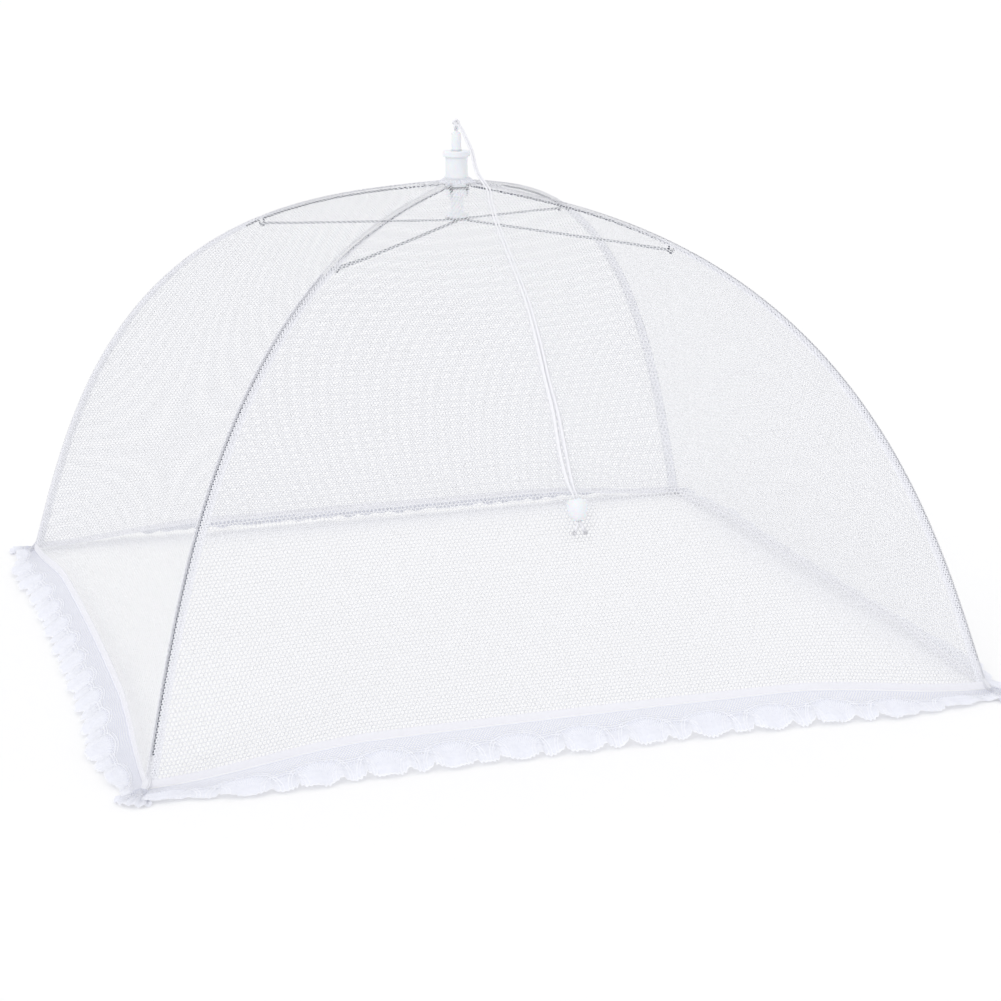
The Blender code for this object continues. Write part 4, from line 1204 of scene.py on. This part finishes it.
def skirt_point(turn, down):
    pleat = math.sin(turn * SKIRT_PLEATS + 1.5 * math.sin(3 * turn)) * SKIRT_PLEAT_DEPTH * (0.4 + 0.6 * down)
    radius = SKIRT_TOP[0] + (SKIRT_FOOT[0] - SKIRT_TOP[0]) * down + pleat / 2
    height = SKIRT_TOP[1] + (SKIRT_FOOT[1] - SKIRT_TOP[1]) * down**1.3 + pleat
    return Vector((radius * math.cos(turn), radius * math.sin(turn), height + CROWN_Z))


turns = [2 * math.pi * step / SKIRT_STEPS for step in range(SKIRT_STEPS)]
points, cut = [], []
for row in range(SKIRT_ROWS + 1):
    down = row / SKIRT_ROWS
    points += [skirt_point(turn, down) for turn in turns]
    cut += [(SKIRT_FOOT[0] * turn, (SKIRT_FOOT[0] - SKIRT_TOP[0]) * 1.3 * down) for turn in turns]
faces = []
for row in range(SKIRT_ROWS):
    for step in range(SKIRT_STEPS):
        after = (step + 1) % SKIRT_STEPS
        near, far = row * SKIRT_STEPS, (row + 1) * SKIRT_STEPS
        faces.append((near + step, far + step, far + after, near + after))
gather = mesh_object("crown_gather_pleated", points, faces, GATHER_NET, cut)
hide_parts("crown_gather")
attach(gather, "canopy")
ring = [skirt_point(turn, 0.0) for turn in turns[::5]]
ring.append(ring[0])
binding = tubes("crown_binding_thread", [ring], BINDING_RADIUS, 8, GATHER_WHITE)
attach(binding, "canopy")

# %% [markdown]
# Each corner ends in a small gathered pocket over the rib's tip, inside the net's own corner. From
# it the ends of the two frills run out together, as a short crumpled tail on the table.

# %% Corner pockets
POCKET_SLEEVE = 0.0060
POCKET_NECK = 0.0030
TAIL_LENGTH = 0.027
TAIL_HALF_WIDTH = 0.0075
TAIL_THICKNESS = 0.0011
POCKET_SIDES = 48
POCKET_PLEATS = 8


def pocket_sections():
    tip_x, _ = rib_at(RIB_LENGTH)
    table = -CROWN_Z
    sections = []
    for along in (RIB_LENGTH - POCKET_SLEEVE, RIB_LENGTH):
        sections.append((*rib_at(along), TIP_SLOPE, 0.0015, 0.0012, 0.02))
    neck = rib_at(RIB_LENGTH + POCKET_NECK)
    sections.append((*neck, TIP_SLOPE, 0.0014, 0.0012, 0.05))
    for reach, wide, slope, pleat in ((0.16, 0.30, 0.60, 0.12), (0.28, 0.16, 0.20, 0.05)):
        rise = (neck[1] - table) * slope * (1 - reach)
        sections.append((
            tip_x + TAIL_LENGTH * reach, table + TAIL_THICKNESS / 2 + rise, TIP_SLOPE * slope,
            TAIL_HALF_WIDTH * wide, TAIL_THICKNESS, pleat,
        ))
    return sections


def pocket_rings(turn):
    rings = []
    for x, z, slope, half_width, half_thickness, pleat in pocket_sections():
        ring = []
        for k in range(POCKET_SIDES):
            angle = 2 * math.pi * k / POCKET_SIDES
            swell = 1 + pleat * math.sin(POCKET_PLEATS * angle)
            rise = half_thickness * swell * math.sin(angle)
            height = max(z + rise * math.cos(slope), 0.0001 - CROWN_Z)
            point = (RING_RADIUS + x + rise * math.sin(slope), half_width * swell * math.cos(angle), height)
            ring.append(placed(point, turn))
        rings.append(ring)
    return rings


def pocket_mesh(name, turn):
    rings = pocket_rings(turn)
    points = [point for ring in rings for point in ring]
    faces = []
    for i in range(len(rings) - 1):
        for k in range(POCKET_SIDES):
            after = (k + 1) % POCKET_SIDES
            a, b = i * POCKET_SIDES + k, i * POCKET_SIDES + after
            faces.append((a, b, b + POCKET_SIDES, a + POCKET_SIDES))
    last = (len(rings) - 1) * POCKET_SIDES
    faces.append(tuple(range(POCKET_SIDES))[::-1])
    faces.append(tuple(last + k for k in range(POCKET_SIDES)))
    cut = [(k * 0.0006, i * 0.006) for i in range(len(rings)) for k in range(POCKET_SIDES)]
    return mesh_object(name, points, faces, GATHER_WHITE, cut)


FAN_ROWS = 12
FAN_COLUMNS = 60
FAN_HALF_ANGLE = math.radians(46)
FAN_START = 0.0045  # past the rib's tip
FAN_ROOT = 0.0016
FAN_REACH = 0.0155
FAN_RISE = 0.0040
FAN_SCALLOPS = 2


def fan_point(share, down):
    """Point of the corner's lace tail, from the rib's plane, in the crown's frame."""
    side = 2 * share - 1
    turn = side * FAN_HALF_ANGLE
    ragged = 1 + TOOTH_SHARE * 2 * tooth(FAN_SCALLOPS * share) * down
    reach = FAN_REACH * (1 - 0.20 * side * side) * ragged
    out = FAN_ROOT + reach * down
    rise = FAN_RISE * max(1 - down, 0.0) ** 1.5
    ruffle = 0.0022 * down * (1 - 0.5 * down) * (1 + math.sin(7 * side + 2) * math.cos(11 * side))
    height = LACE_REST * 0.4 - CROWN_Z + rise + ruffle
    tip_x = rib_at(RIB_LENGTH)[0] + FAN_START
    return (RING_RADIUS + tip_x + out * math.cos(turn), out * math.sin(turn), height)


for index, name in enumerate(RIB_NAMES):
    pocket = pocket_mesh(f"corner_gather_{name}", rib_turn(index))
    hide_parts(f"corner_pocket_{name}")
    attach(pocket, f"rib_{name}")
    rows, cut = [], []
    for row in range(FAN_ROWS + 1):
        down = row / FAN_ROWS
        points = [fan_point(k / FAN_COLUMNS, down) for k in range(FAN_COLUMNS + 1)]
        rows.append([placed(p, rib_turn(index)) for p in points])
        cut += [(k / FAN_COLUMNS * FAN_SCALLOPS, down) for k in range(FAN_COLUMNS + 1)]
    fan = sheet_from_rows(f"corner_lace_{name}", rows, LACE_WHITE, cut=cut)
    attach(fan, f"rib_{name}")
    middle = rows[FAN_ROWS // 2]

# %% [markdown]
# The dressed cover must stay as large as its solid model. The box round everything shown is printed.

# %% Sizes, and the end
low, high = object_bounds()
print("visual box", [round(v, 4) for v in (*low, *high)])
